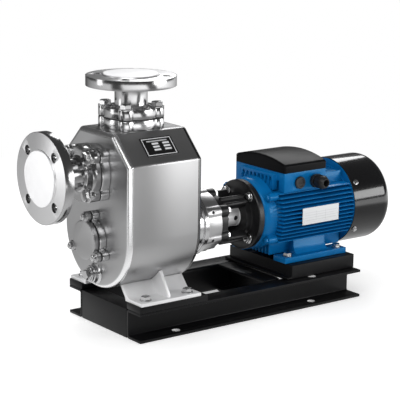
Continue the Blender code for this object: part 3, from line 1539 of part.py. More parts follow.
def make_entries(entries, plastic):
    """Blanking plug and cable gland, both screwed into the front of the terminal box."""
    face = -BOX_HALF_WIDTH - GAP
    thread = ENTRY_THREAD_RADIUS
    inside = face + BOX_WALL
    edge = 0.001
    profile = [
        (inside, 0),
        (inside, thread),
        (face, thread),
        (face, PLUG_RADIUS),
        (face - PLUG_HEAD + edge, PLUG_RADIUS),
        (face - PLUG_HEAD, PLUG_RADIUS - edge),
        (face - PLUG_HEAD, 0),
    ]
    bm = bmesh.new()
    add_turned(bm, "Y", entries[0], profile, MEDIUM, closed=False)
    plug = make_object("blanking_plug", bm, plastic)
    x, z = entries[0]
    head = face - PLUG_HEAD
    slot = block(x - 0.007, x + 0.007, head - 0.002, head + 0.0015, z - 0.001, z + 0.001)
    cut(plug, slot, "slot")

    mouth = GLAND_MOUTH_RADIUS
    tip = face - GLAND_LENGTH
    dome0 = face - GLAND_LENGTH * 0.45
    profile = [
        (inside, mouth),
        (inside, thread),
        (face, thread),
        (face, GLAND_NECK_RADIUS),
        (dome0, GLAND_NECK_RADIUS),
        (dome0, GLAND_DOME_RADIUS),
        (tip + 0.006, GLAND_DOME_RADIUS),
        (tip, mouth + 0.0025),
        (tip, mouth),
    ]
    bm = bmesh.new()
    add_turned(bm, "Y", entries[1], profile, MEDIUM)
    gland = make_object("cable_gland", bm, plastic)
    bm = bmesh.new()
    hex0 = face - 0.002
    add_prism(bm, "Y", hexagon(entries[1], GLAND_HEX * 0.9), face - 0.009, hex0)
    fuse(gland, bm, "hexagon")
    bm = bmesh.new()
    add_prism(bm, "Y", circle(entries[1], mouth, MEDIUM), tip - 0.002, inside + 0.002)
    cut(gland, bm, "bore")


def make_motor_plate(plate):
    """A blank plate on the fins of the motor's front side."""
    x0 = MOTOR_X + MOTOR_PLATE_FROM_SHIELD
    y1 = -SIDE_FIN_RADIUS - GAP
    y0 = y1 - MOTOR_PLATE_THICKNESS
    half = MOTOR_PLATE_HEIGHT / 2
    bm = block(x0, x0 + MOTOR_PLATE_LENGTH, y0, y1, SHAFT_HEIGHT - half, SHAFT_HEIGHT + half)
    make_object("motor_name_plate", bm, plate)


def build():
    clear_scene()
    origin = bpy.data.objects.new("pump_set", None)
    bpy.context.scene.collection.objects.link(origin)
    origin.location = (-SET_MIDDLE_X, 0, 0)

    steel = finish("stainless_steel", (0.60, 0.61, 0.62), 0.25, 1.0)
    black = finish("black_paint", (0.012, 0.012, 0.013), 0.35, 0.0)
    blue = finish("blue_paint", (0.004, 0.10, 0.36), 0.30, 0.0)
    gloss = finish("black_gloss", (0.010, 0.010, 0.011), 0.12, 0.0)
    rubber = finish("black_rubber", (0.02, 0.02, 0.02), 0.70, 0.0)
    white = finish("white_plastic", (0.86, 0.86, 0.86), 0.45, 0.0)
    plastic = finish("black_plastic", (0.02, 0.02, 0.022), 0.45, 0.0)
    plate = finish("silver_plate", (0.70, 0.71, 0.72), 0.35, 0.8)
    ceramic = finish("seal_ceramic", (0.80, 0.78, 0.72), 0.30, 0.0)
    iron = finish("core_iron", (0.20, 0.20, 0.21), 0.50, 0.9)
    copper = finish("copper_winding", (0.65, 0.28, 0.12), 0.40, 0.9)

    make_base(black)
    make_motor_stand(black)
    make_casing(steel)
    make_feet(steel)
    make_nozzles(steel, rubber, white)
    make_cleanout(steel, rubber)
    make_drain(steel)
    make_pump_plate(plate)
    make_check_valve(steel, rubber)
    duct_end = make_suction_duct(steel)
    front, back = make_volute(steel, duct_end + GAP)
    shaft_tip, hub0, impeller_back, thread = make_impeller(steel, front, back)
    make_drive_end(steel, black, ceramic)
    make_motor_body(blue, iron, copper, steel)
    make_motor_feet(blue)
    make_rotor(steel, iron, copper, plastic, shaft_tip, hub0, impeller_back, thread)
    make_fan_cover(gloss)
    make_terminal_box(blue, black, plastic)
    make_motor_plate(plate)


build()
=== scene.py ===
"""Looks of a self-priming pump set: casing, pipe flanges, base frame, lantern and finned motor."""

from math import acos, asin, cos, hypot, pi, radians, sin, sqrt

import bpy
from mathutils import Matrix, Vector


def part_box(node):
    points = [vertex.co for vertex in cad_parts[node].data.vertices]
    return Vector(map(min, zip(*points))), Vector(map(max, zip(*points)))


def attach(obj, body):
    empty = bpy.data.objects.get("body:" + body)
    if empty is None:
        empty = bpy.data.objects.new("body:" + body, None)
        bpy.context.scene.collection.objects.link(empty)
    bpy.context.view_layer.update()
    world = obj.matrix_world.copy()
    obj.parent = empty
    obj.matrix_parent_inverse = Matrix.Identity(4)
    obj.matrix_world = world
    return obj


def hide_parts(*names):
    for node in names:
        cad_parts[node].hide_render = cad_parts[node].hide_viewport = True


bl_info = {
    "name": "Self-priming pump set",
    "version": (1, 0, 0),
    "blender": (4, 5, 0),
    "location": "View3D > Sidebar > Pump",
    "description": "Dresses a self-priming pump, its motor and its base frame",
    "category": "Add Mesh",
}

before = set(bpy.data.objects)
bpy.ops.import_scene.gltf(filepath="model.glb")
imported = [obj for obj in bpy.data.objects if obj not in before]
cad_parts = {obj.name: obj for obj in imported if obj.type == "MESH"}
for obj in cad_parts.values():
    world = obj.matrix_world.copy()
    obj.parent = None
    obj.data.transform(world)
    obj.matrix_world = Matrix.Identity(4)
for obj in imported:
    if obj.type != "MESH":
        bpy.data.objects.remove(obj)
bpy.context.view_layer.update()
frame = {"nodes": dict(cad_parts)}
ROOT = "pump_and_motor"
ROTOR = "rotor"
STEEL = "stainless_steel"
PAINT = "black_paint"
BLUE = "blue_paint"

AXES = {"X": (1, 2, 0), "Y": (0, 2, 1), "Z": (0, 1, 2)}


def low(node, axis):
    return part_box(node)[0]["XYZ".index(axis)]


def high(node, axis):
    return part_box(node)[1]["XYZ".index(axis)]


def ends(node, axis):
    return low(node, axis), high(node, axis)


def middle(node, axis):
    return (low(node, axis) + high(node, axis)) / 2


# Places read from the frame
DISCHARGE_X = middle("discharge_nozzle", "X")
SUCTION_Z = middle("suction_nozzle", "Z")
SHAFT_Z = middle("coupling_sleeve", "Z")
SHAFT = (0, SHAFT_Z)
HEAD_FACE = low("suction_head", "X")
DRIVE_FACE = high("drive_head", "X")

# Sizes that several pieces share, in metres. Bores and holes are radii
BEYOND = 0.01
PIPE_BORE = 0.0265
PIPE_RIM, PIPE_HOLE, PIPE_HOLE_CIRCLE = 0.0825, 0.009, 0.0625
CASING_RADIUS = 0.106
SHOULDER_Z, SHOULDER_Y = 0.321, 0.055
SHELL_WALL, HEAD_WALL = 0.004, 0.0045
SHEET = 0.005
FLOOR_HOLE, FLOOR_HOLE_Y = 0.0075, 0.0995
MOTOR_BOLT_X, MOTOR_BOLT_Y = 0.0625, 0.070
# Disc, lobe and reach of the joint flanges, then how many lobes and where the first one is
JOINT_LOBES = (0.0505, 0.013, 0.0475, 4, pi / 4)
SEAL_TURN = (6, pi / 6)
LANTERN_RING, LANTERN_DISC = 0.0195, 0.012
ARM_ANGLE = radians(50)
SHIELD_ANGLE = radians(33)


def floor_hole_places():
    start = low("front_channel", "X")
    return start + 0.092, start + 0.417


def motor_bolt_places(side):
    x = middle("front_motor_foot", "X")
    return [(x - MOTOR_BOLT_X, side * MOTOR_BOLT_Y), (x + MOTOR_BOLT_X, side * MOTOR_BOLT_Y)]


# Shader building


def feed(tree, slot, value):
    if isinstance(value, Wire):
        tree.links.new(value.socket, slot)
    elif value is not None:
        slot.default_value = value


def joins(operation, swapped=False):
    """An arithmetic method that adds a Math node."""

    def method(self, other):
        return self.math(operation, other, swapped=swapped)

    return method


class Wire:
    """A shader socket. Arithmetic on wires adds Math nodes, and | takes the larger value."""

    def __init__(self, tree, socket):
        self.tree = tree
        self.socket = socket

    def math(self, operation, *others, swapped=False):
        node = self.tree.nodes.new("ShaderNodeMath")
        node.operation = operation
        values = (*others, self) if swapped else (self, *others)
        for slot, value in zip(node.inputs, values):
            feed(self.tree, slot, value)
        return Wire(self.tree, node.outputs[0])

    __add__ = __radd__ = joins("ADD")
    __mul__ = __rmul__ = joins("MULTIPLY")
    __sub__ = joins("SUBTRACT")
    __rsub__ = joins("SUBTRACT", swapped=True)
    __truediv__ = joins("DIVIDE")
    __pow__ = joins("POWER")
    __or__ = joins("MAXIMUM")

    def __abs__(self):
        return self.math("ABSOLUTE")

    def clamp(self, least, most):
        return self.math("MAXIMUM", least).math("MINIMUM", most)

    def within(self, edge, soft):
        """1 where the value is under edge, fading to 0 over soft."""
        return ((edge + soft / 2 - self) / soft).clamp(0, 1)


def shade(colour, factor):
    return tuple(min(1.0, part * factor) for part in colour)


def full(colour, factor=1.0):
    return (*shade(colour, factor), 1)


class Finish:
    """A material being built: node() adds any node, and the rest are short ways to common ones."""

    def __init__(self, name, colour, roughness, metallic=0.0):
        self.colour = tuple(colour)
        self.material = bpy.data.materials.new(name)
        self.material.use_nodes = True
        self.tree = self.material.node_tree
        self.shader = self.tree.nodes["Principled BSDF"]
        self.material.diffuse_color = (*self.colour, 1)
        self.set("Base Color", (*self.colour, 1))
        self.set("Roughness", roughness)
        self.set("Metallic", metallic)
        self.coords = Wire(self.tree, self.tree.nodes.new("ShaderNodeTexCoord").outputs["Object"])

    def set(self, socket, value):
        feed(self.tree, self.shader.inputs[socket], value)

    def node(self, kind, settings, values, output=0):
        node = self.tree.nodes.new("ShaderNode" + kind)
        for name, value in settings.items():
            setattr(node, name, value)
        for name, value in values.items():
            feed(self.tree, node.inputs[name], value)
        return Wire(self.tree, node.outputs[output])

    def axes(self):
        """The x, y and z of the object's own coordinates, in metres."""
        node = self.tree.nodes.new("ShaderNodeSeparateXYZ")
        feed(self.tree, node.inputs[0], self.coords)
        return [Wire(self.tree, out) for out in node.outputs]

    def stretched(self, x, y, z):
        """The coordinates scaled by these factors."""
        return self.node("VectorMath", {"operation": "MULTIPLY"}, {0: self.coords, 1: (x, y, z)})

    def noise(self, scale, detail=3.0, roughness=0.5, vector=None):
        values = {"Scale": scale, "Detail": detail, "Roughness": roughness}
        return self.node("TexNoise", {}, {"Vector": vector or self.coords, **values})

    def blend(self, factor, first, second):
        return self.node("Mix", {"data_type": "RGBA"}, {0: factor, 6: first, 7: second}, 2)

    def tint(self, factor, first, second):
        """The finish's own colour, varied between these two strengths."""
        return self.blend(factor, full(self.colour, first), full(self.colour, second))

    def radius(self, axis, centre):
        """Distance from a line along an axis through this point."""
        parts = self.axes()
        a = parts[AXES[axis][0]] - centre[0]
        b = parts[AXES[axis][1]] - centre[1]
        return (a * a + b * b) ** 0.5

    def skin(self, colour, rough, limits, height=None, strength=0.0, distance=0.0):
        """Colour, roughness held between limits, and relief. Returns the finished material."""
        self.set("Base Color", colour)
        self.set("Roughness", rough.clamp(*limits))
        if height is not None:
            relief = {"Height": height, "Strength": strength, "Distance": distance}
            self.set("Normal", self.node("Bump", {}, relief))
        return self.material


def sizes():
    return bpy.context.scene.pump_sizes


def colours():
    return bpy.context.scene.pump_colours


_finishes = {}


def finish(maker, *details):
    """Each finish is made once for each set of details."""
    key = (maker.__name__, *details)
    if key not in _finishes:
        _finishes[key] = maker(*details)
    return _finishes[key]


def turned_steel(axis, a, b, face=None, level=1.0):
    """Stainless steel turned on a lathe: fine rings about the axis. The face given is duller."""
    # Painted light: level makes lighter and darker copies of the one stainless steel, and each piece's
    # level is set to its light and shade. The pipe flanges are 0.72.
    f = Finish("turned_steel", shade(colours().steel, level), 0.2, 1.0)
    radius = f.radius(axis, (a, b))
    ring_place = f.node("CombineXYZ", {}, {0: radius * 2600.0})
    rings = f.noise(1.0, 2.0, 0.6, ring_place)
    cloud = f.noise(22.0, 3.0)
    tone = f.tint(cloud, 0.86, 1.06)
    rough = 0.10 + cloud * 0.08 + rings * 0.08
    if face is not None:
        along = abs(f.axes()["XYZ".index(axis)] - face)
        dull = along.within(0.0012, 0.0002) * radius.within(0.0816, 0.0004)
        tone = f.blend(dull, tone, full(colours().steel, 1.3))
        rough = rough + dull * 0.20
    return f.skin(tone, rough, (0.08, 0.5), rings, 0.10, 0.0002)


def polished_steel():
    """Polished pipe and screws: nearly mirror bright, with faint marks."""
    f = Finish("polished_steel", colours().steel, 0.15, 1.0)
    cloud, marks = f.noise(40.0, 4.0), f.noise(900.0, 2.0, 0.7)
    rough = 0.15 + cloud * 0.10 + marks * 0.06
    return f.skin(f.tint(cloud, 0.92, 1.10), rough, (0.07, 0.4), marks, 0.08, 0.0002)


def satin_sheet(direction, level, face=None, way=1, shine=1.5):
    """Ground stainless sheet: hair lines along one direction. Behind the face its rim is polished, and
    there its colour is painted light: shine above 1 paints a highlight, and shine below 1 paints shade.
    """
    # Painted light: level makes lighter and darker copies of the one stainless steel, and each piece's
    # level is set to its light and shade. Examples are 0.74 for the casing, 0.76 for the suction head,
    # 0.66 for the drive end and 0.9 for the seal plate.
    f = Finish("satin_sheet_" + direction, shade(colours().steel, level), 0.34, 1.0)
    slow, fast = 14.0, 1500.0
    hair = f.noise(1.0, 3.0, 0.65, f.stretched(*[slow if axis == direction else fast for axis in "XYZ"]))
    cloud = f.noise(9.0, 4.0)
    shown = f.tint((cloud * 0.7 + hair * 0.3).clamp(0, 1), 0.86, 1.10)
    rough = 0.27 + hair * 0.12 + cloud * 0.06
    if face is not None:
        # Painted light on the rim behind the face: its colour is the steel times shine, a painted
        # highlight at 1.5 and painted shade at 0.25.
        rim = 1 - ((f.axes()[0] - face) * way).within(0.0007, 0.0008)
        shown = f.blend(rim, shown, full(colours().steel, shine))
        rough = rough - rim * 0.10
    return f.skin(shown, rough, (0.15, 0.6), hair, 0.12, 0.0002)


def cast_steel_with_painted_light():
    """Bead-blasted stainless steel: matt and finely grained. Its pale colour is painted light, lifted well
    above the steel's own so that the pump feet and the coupling in the lantern's shade read bright.
    """
    f = Finish("cast_steel_with_painted_light", colours().steel, 0.5, 0.4)
    grain, cloud = f.noise(700.0, 4.0, 0.7), f.noise(16.0, 3.0)
    # Painted light: the tint lifts the colour to 1.25 to 1.55 times the steel's own.
    return f.skin(f.tint(cloud, 1.25, 1.55), 0.42 + grain * 0.16, (0.3, 0.8), grain, 0.2, 0.0002)


def black_coat(gloss, shine=0.18, hole_y=None):
    """Black paint: orange peel, a little dust, duller patches. On hole_y the floor holes get painted
    light: their walls are pale grey so that the holes read lit.
    """
    f = Finish("black_coat" if hole_y is None else "coat_with_painted_light_in_holes", colours().frame, gloss)
    peel, cloud, dust = f.noise(420.0, 2.0), f.noise(14.0, 4.0, 0.6), f.noise(160.0, 5.0, 0.7)
    tone = f.tint(cloud * dust, 0.8, 2.2)
    if hole_y is not None:
        # Painted light: the walls of the floor holes are painted pale grey so that they read lit.
        edge = FLOOR_HOLE + 0.00015
        left, right = [f.radius("Z", (x, hole_y)).within(edge, 0.0001) for x in floor_hole_places()]
        tone = f.blend(left + right, tone, (0.80, 0.80, 0.80, 1))
    f.set("Specular IOR Level", shine)
    rough = gloss - 0.05 + cloud * 0.14 + dust * 0.05
    return f.skin(tone, rough, (0.1, 0.8), peel, 0.12, 0.0004)


def cast_black():
    """Painted casting: coarse skin under the paint."""
    f = Finish("cast_black", colours().frame, 0.38)
    coarse, lumps = f.noise(260.0, 5.0, 0.6), f.noise(60.0, 3.0)
    rough = 0.28 + coarse * 0.25
    return f.skin(f.tint(lumps, 0.8, 2.0), rough, (0.2, 0.7), coarse + lumps * 0.6, 0.22, 0.0006)


def motor_blue():
    """Blue paint on cast aluminium: smooth, a little wavy, with lighter clouds."""
    f = Finish("motor_blue", colours().motor, 0.3)
    wave, peel, cloud = f.noise(70.0, 3.0), f.noise(500.0, 2.0), f.noise(18.0, 4.0)
    f.set("Specular IOR Level", 0.3)
    f.set("Specular Tint", (0.2, 0.7, 1.0, 1))
    f.set("Coat Weight", 0.08)
    f.set("Coat Roughness", 0.12)
    rough = 0.20 + cloud * 0.12 + peel * 0.08
    return f.skin(f.tint(cloud, 0.82, 1.22), rough, (0.12, 0.6), wave + peel * 0.4, 0.12, 0.0006)


def cover_black(roughness):
    """Smooth black lacquer on pressed sheet."""
    f = Finish("cover_black", colours().cover, roughness)
    cloud, peel = f.noise(10.0, 3.0), f.noise(380.0, 2.0)
    f.set("Specular IOR Level", 0.2)
    f.set("Coat Weight", 0.75)
    f.set("Coat Roughness", 0.07)
    rough = roughness - 0.02 + cloud * 0.06 + peel * 0.03
    return f.skin(f.tint(cloud, 0.8, 1.6), rough, (0.05, 0.6), peel, 0.05, 0.0003)


def moulded_black():
    """Black nylon of the gland, the plug and the fan: fine spark-eroded grain."""
    f = Finish("moulded_black", shade(colours().cover, 1.6), 0.45)
    grain, cloud = f.noise(900.0, 3.0, 0.7), f.noise(40.0, 3.0)
    return f.skin(f.tint(cloud, 0.75, 1.625), 0.36 + grain * 0.2, (0.25, 0.8), grain, 0.15, 0.0002)


def white_sheet_with_painted_glow():
    """White protective sheet with soft waves, glowing a little as painted light."""
    f = Finish("white_sheet_with_painted_glow", colours().covers, 0.4)
    wave, fine = f.noise(45.0, 3.0), f.noise(380.0, 3.0)
    # Painted light: a weak white glow, though the sheet is no lamp.
    f.set("Emission Color", (1, 1, 1, 1))
    f.set("Emission Strength", 0.12)
    rough = 0.34 + wave * 0.14 + fine * 0.05
    return f.skin(f.tint(wave, 0.93, 1.04), rough, (0.2, 0.8), wave + fine * 0.15, 0.25, 0.0010)


def gasket_rubber():
    f = Finish("gasket_rubber", (0.02, 0.02, 0.021), 0.7)
    grain = f.noise(700.0, 4.0, 0.7)
    return f.skin(f.tint(grain, 0.7, 1.8), 0.58 + grain * 0.2, (0.4, 0.9), grain, 0.3, 0.0003)


def cast_stainless():
    """Metal of the impeller and its nut."""
    f = Finish("cast_stainless", (0.50, 0.50, 0.49), 0.42, 1.0)
    grain = f.noise(220.0, 4.0, 0.6)
    return f.skin(f.tint(grain, 0.75, 1.2), 0.34 + grain * 0.2, (0.1, 0.9), grain, 0.35, 0.0005)


def stacked_iron():
    """Core laminations: thin sheets stacked along the shaft."""
    f = Finish("stacked_iron", (0.22, 0.22, 0.23), 0.45, 1.0)
    sheets = (f.axes()[0] * 2000.0 * pi).math("SINE")
    cloud = f.noise(60.0, 3.0)
    tone = f.tint((sheets * 0.5 + 0.5) * cloud, 0.6, 1.5)
    return f.skin(tone, 0.35 + cloud * 0.25, (0.2, 0.8), sheets, 0.3, 0.0002)


def copper_wire():
    """Windings: wires laid round the shaft under varnish."""
    f = Finish("copper_wire", colours().copper, 0.35, 1.0)
    turns = (f.axes()[0] * 4200.0 + f.radius("X", SHAFT) * 4200.0).math("SINE")
    cloud = f.noise(90.0, 4.0)
    tone = f.tint((turns * 0.5 + 0.5) * cloud, 0.45, 1.3)
    return f.skin(tone, 0.28 + cloud * 0.25, (0.2, 0.8), turns, 0.5, 0.0004)


def seal_ceramic():
    f = Finish("seal_ceramic", (0.80, 0.77, 0.70), 0.25)
    grain = f.noise(500.0, 3.0)
    return f.skin(f.tint(grain, 0.94, 1.03), 0.18 + grain * 0.12, (0.1, 0.5))


# Modelling


def deselect():
    if bpy.context.object and bpy.context.object.mode != "OBJECT":
        bpy.ops.object.mode_set(mode="OBJECT")
    bpy.ops.object.select_all(action="DESELECT")


def only(obj):
    deselect()
    obj.select_set(True)
    bpy.context.view_layer.objects.active = obj


def place(axis, along, a, b):
    first, second, main = AXES[axis]
    point = Vector((0, 0, 0))
    point[first], point[second], point[main] = a, b, along
    return point


def trace(name, points, closed):
    """A line drawn by extruding one vertex from point to point. It is left in edit mode."""
    deselect()
    bpy.ops.mesh.primitive_plane_add(size=0.001, location=points[0])
    obj = bpy.context.object
    obj.name = name
    obj.data.name = name
    bpy.ops.object.mode_set(mode="EDIT")
    bpy.ops.mesh.select_mode(type="VERT")
    bpy.ops.mesh.select_all(action="SELECT")
    bpy.ops.mesh.merge(type="CENTER")
    route = points + points[:1] if closed else points
    for here, there in zip(route, route[1:]):
        bpy.ops.mesh.extrude_vertices_move(TRANSFORM_OT_translate={"value": there - here})
    bpy.ops.mesh.select_all(action="SELECT")
    if closed:
        bpy.ops.mesh.remove_doubles(threshold=1e-6)
    return obj


def settle(obj):
    """Leaves edit mode with the object at the origin, so that its place is in its mesh."""
    only(obj)
    bpy.ops.object.transform_apply(location=True, rotation=True, scale=True)
    return obj


def outward(obj):
    """Turns the normals outwards and settles the object."""
    bpy.ops.mesh.select_all(action="SELECT")
    bpy.ops.mesh.normals_make_consistent(inside=False)
    return settle(obj)


def prism(name, axis, outline, start, end):
    """A closed outline across an axis, filled and extruded."""
    obj = trace(name, [place(axis, start, a, b) for a, b in outline], True)
    bpy.ops.mesh.edge_face_add()
    bpy.ops.mesh.extrude_region_move(TRANSFORM_OT_translate={"value": place(axis, end - start, 0, 0)})
    return outward(obj)


def turned(name, axis, centre, profile, steps=96, closed=True):
    """A profile of (along, radius) points spun about an axis. An open one ends on the axis."""
    a, b = centre
    obj = trace(name, [place(axis, along, a + radius, b) for along, radius in profile], closed)
    line = place(axis, 1, 0, 0)
    bpy.ops.mesh.spin(steps=steps, angle=2 * pi, center=place(axis, 0, a, b), axis=line)
    bpy.ops.mesh.select_all(action="SELECT")
    bpy.ops.mesh.remove_doubles(threshold=2e-6)
    return outward(obj)


def shell(name, axis, outline, start, end, wall):
    """An open tube of this outline with a wall inside it."""
    obj = trace(name, [place(axis, start, a, b) for a, b in outline], True)
    bpy.ops.mesh.extrude_edges_move(TRANSFORM_OT_translate={"value": place(axis, end - start, 0, 0)})
    return thicken(outward(obj), wall)


def modify(obj, kind, **settings):
    only(obj)
    bpy.ops.object.modifier_add(type=kind)
    modifier = obj.modifiers[-1]
    for name, value in settings.items():
        setattr(modifier, name, value)
    bpy.ops.object.modifier_apply(modifier=modifier.name)
    return obj


def thicken(obj, wall):
    return modify(obj, "SOLIDIFY", thickness=wall, offset=-1.0, use_even_offset=True)


def bevel(obj, width, segments=2, angle=30):
    limit = radians(angle)
    return modify(obj, "BEVEL", width=width, segments=segments, limit_method="ANGLE", angle_limit=limit)


def combine(obj, other, operation):
    modify(obj, "BOOLEAN", operation=operation, object=other, solver="EXACT")
    only(other)
    bpy.ops.object.delete()
    return obj


def cut(obj, other):
    return combine(obj, other, "DIFFERENCE")


def fuse(obj, other):
    return combine(obj, other, "UNION")


def joined(name, pieces):
    deselect()
    for piece in pieces:
        piece.select_set(True)
    bpy.context.view_layer.objects.active = pieces[0]
    if len(pieces) > 1:
        bpy.ops.object.join()
    obj = bpy.context.object
    obj.name = name
    obj.data.name = name
    return obj


def copies(name, model, moves):
    """Copies of one model at each move, as one piece. The model itself is removed."""
    made = []
    for move in moves:
        obj = model.copy()
        obj.data = model.data.copy()
        obj.data.transform(move)
        bpy.context.collection.objects.link(obj)
        made.append(obj)
    only(model)
    bpy.ops.object.delete()
    return joined(name, made)


def done(obj, material, slot, *replaces, body=ROOT, smooth=35):
    """Shading, material and the piece's place in the frame."""
    only(obj)
    bpy.ops.object.shade_smooth_by_angle(angle=radians(smooth))
    obj.data.materials.clear()
    obj.data.materials.append(material)
    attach(obj, body)
    if replaces:
        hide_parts(*replaces)


def block(name, x, y, z):
    """A box between these pairs of limits."""
    return prism(name, "Z", [(x[0], y[0]), (x[1], y[0]), (x[1], y[1]), (x[0], y[1])], z[0], z[1])


def mm(base, *points):
    """Profile points in millimetres. The first value of each is measured from a base in metres."""
    return [(base + along / 1000, radius / 1000) for along, radius in points]


def quarter(steps=5):
    return [i * pi / 2 / steps for i in range(steps + 1)]


def crossed(angle):
    """This angle above and below the horizontal, on both sides."""
    return [angle, pi - angle, pi + angle, -angle]


def polar(centre, radius, angles):
    return [(centre[0] + radius * cos(t), centre[1] + radius * sin(t)) for t in angles]


def circle(centre, radius, steps, turn=0.0):
    return polar(centre, radius, [2 * pi * i / steps + turn for i in range(steps)])


def hexagon(centre, across_flats, turn=0.0):
    return circle(centre, across_flats / sqrt(3), 6, turn)


def swung(section, angle):
    """A section of (outward, sideways) points turned about the shaft."""
    return [
        (r * cos(angle) - a * sin(angle), SHAFT_Z + r * sin(angle) + a * cos(angle)) for r, a in section
    ]


def rod(axis, centre, radius, start, end, steps=48):
    return prism("rod", axis, circle(centre, radius, steps), start, end)


def rods(axis, centres, radius, start, end, steps=32):
    return joined("rods", [rod(axis, centre, radius, start, end, steps) for centre in centres])


def drill(obj, axis, centres, radius, start, end, steps=32):
    """Round holes whose cutters go on beyond both ends."""
    start, end = sorted((start, end))
    return cut(obj, rods(axis, centres, radius, start - BEYOND, end + BEYOND, steps))


def lobed(centre, disc, lobe, reach, lobes, turn, steps=10):
    """A disc with round lobes as one outline. Lobe centres are at this reach from the middle."""
    meet = acos((disc**2 + reach**2 - lobe**2) / (2 * disc * reach))
    swing = pi - asin(disc * sin(meet) / lobe)
    if reach < disc * cos(meet):
        swing = pi - swing
    gap = 2 * pi / lobes - 2 * meet
    points = []
    for i in range(lobes):
        mid = turn + 2 * pi * i / lobes
        tip = (centre[0] + reach * cos(mid), centre[1] + reach * sin(mid))
        points += polar(tip, lobe, [mid - swing + 2 * swing * k / steps for k in range(steps + 1)])
        points += polar(centre, disc, [mid + meet + gap * k / (2 * steps) for k in range(1, 2 * steps)])
    return points


def bored(name, axis, centre, outline, bore, start, end, steps=48):
    """A flat plate of this outline with a round bore."""
    plate = prism(name, axis, outline, *sorted((start, end)))
    return drill(plate, axis, [centre], bore, start, end, steps)


def rounded(corners, radius, steps=6):
    """An outline with each corner turned into an arc of this radius."""
    points = []
    count = len(corners)
    for i in range(count):
        corner = Vector(corners[i])
        before = (Vector(corners[i - 1]) - corner).normalized()
        after = (Vector(corners[(i + 1) % count]) - corner).normalized()
        half = acos(max(-1, min(1, before.dot(after)))) / 2
        centre = corner + (before + after).normalized() * (radius / sin(half))
        reach = radius / (sin(half) / cos(half))
        start, end = corner + before * reach - centre, corner + after * reach - centre
        for k in range(steps + 1):
            points.append(tuple(centre + start.lerp(end, k / steps).normalized() * radius))
    return points


def facing(axis, way, point):
    """Turns a model built along +X to face along an axis, and puts it at this point."""
    target = place(axis, way, 0, 0)
    turn = Vector((1, 0, 0)).rotation_difference(target).to_matrix().to_4x4()
    return Matrix.Translation(point) @ turn


def screw(size, stud=0.0):
    """A hexagon head with chamfered corners on a washer. It stands on x = 0 and faces +X."""
    across = size * 1.6
    foot = size * 0.2
    top = foot + size * 0.65
    corner = across / sqrt(3)
    body = prism("head", "X", hexagon((0, 0), across, 0.3), foot, top)
    dome = [(foot - 0.001, 0), (foot - 0.001, corner * 1.1), (top - size * 0.14, corner * 1.02)]
    dome += [(top - size * 0.01, across / 2 * 0.93), (top, across / 2 * 0.90), (top, 0)]
    combine(body, turned("dome", "X", (0, 0), dome, 36, closed=False), "INTERSECT")
    washer = [(0, 0.0), (0, size * 1.08), (foot * 0.7, size * 1.1), (foot, size * 1.04), (foot, 0)]
    parts = [body, turned("washer", "X", (0, 0), washer, 36, closed=False)]
    if stud:
        pitch = size * 0.15
        thread = [(top - pitch, size * 0.42)]
        for i in range(int(stud / pitch)):
            x = top + i * pitch
            thread += [(x, size * 0.5), (x + pitch / 2, size * 0.42)]
        thread += [(top + stud, size * 0.40), (top + stud, 0)]
        parts.append(turned("stud", "X", (0, 0), thread, 24, closed=False))
    return joined("screw", parts)


def bolted(name, model, axis, way, along, spots, maker=polished_steel, slot=STEEL):
    """Copies of a screw on these spots of a face, as one piece."""
    moves = [facing(axis, way, place(axis, along, *spot)) for spot in spots]
    done(copies(name, model, moves), finish(maker), slot)


# Values that a user would change


def length(name, description, default):
    return bpy.props.FloatProperty(name=name, description=description, default=default, unit="LENGTH")


def hue(name, description, default):
    return bpy.props.FloatVectorProperty(
        name=name, description=description, default=default, subtype="COLOR"
    )


class PumpSizes(bpy.types.PropertyGroup):
    """Sizes of details that the frame doesn't hold."""

    flange_chamfer: length("Flange chamfer", "Broken edge of the pipe flanges", 0.0010)
    joint_screw: length("Joint screw", "Thread of the screws in the joint flanges", 0.012)
    foot_screw: length("Foot screw", "Thread of the screws through the feet", 0.010)
    small_screw: length("Small screw", "Thread of the screws on shields and covers", 0.006)
    bend_radius: length("Shoulder bend", "Outer bend of the casing's shoulders", 0.008)
    rim_radius: length("Head rim", "Rounding of the casing heads", 0.0095)
    weld_width: length("Weld width", "Width of the weld seams", 0.004)


class PumpColours(bpy.types.PropertyGroup):
    """Colours of the finishes."""

    steel: hue("Stainless steel", "Bare metal", (0.60, 0.60, 0.605))
    frame: hue("Frame paint", "Base frame and lantern", (0.0045, 0.0045, 0.005))
    motor: hue("Motor paint", "Barrel, shields and feet", (0.002, 0.125, 0.35))
    cover: hue("Cover black", "Fan cover and lid", (0.005, 0.005, 0.0055))
    covers: hue("Blank covers", "Discs on the pipe flanges", (0.86, 0.86, 0.87))
    plate: hue("Plates", "Name plates", (0.72, 0.73, 0.74))
    copper: hue("Copper", "Windings", (0.62, 0.27, 0.12))


# Pieces


def casing_outline(inset, steps=48):
    """The casing's (y, z) section, read from the shell, with rounded shoulders."""
    half = high("casing_shell", "Y") - inset
    top = high("casing_shell", "Z") - inset
    arc_z = low("casing_shell", "Z") + inset + half
    slope = inset * 0.414
    corners = [(half, arc_z + 0.001), (half, SHOULDER_Z - slope), (SHOULDER_Y - slope, top)]
    corners += [(-y, z) for y, z in corners[::-1]]
    arcs = rounded(corners, max(sizes().bend_radius - inset, 0.0008))
    share = len(arcs) // len(corners)
    points = [corners[0]] + arcs[share : share * 5] + [corners[5]]
    return points + polar((0, arc_z), half, [pi + pi * i / steps for i in range(1, steps)])


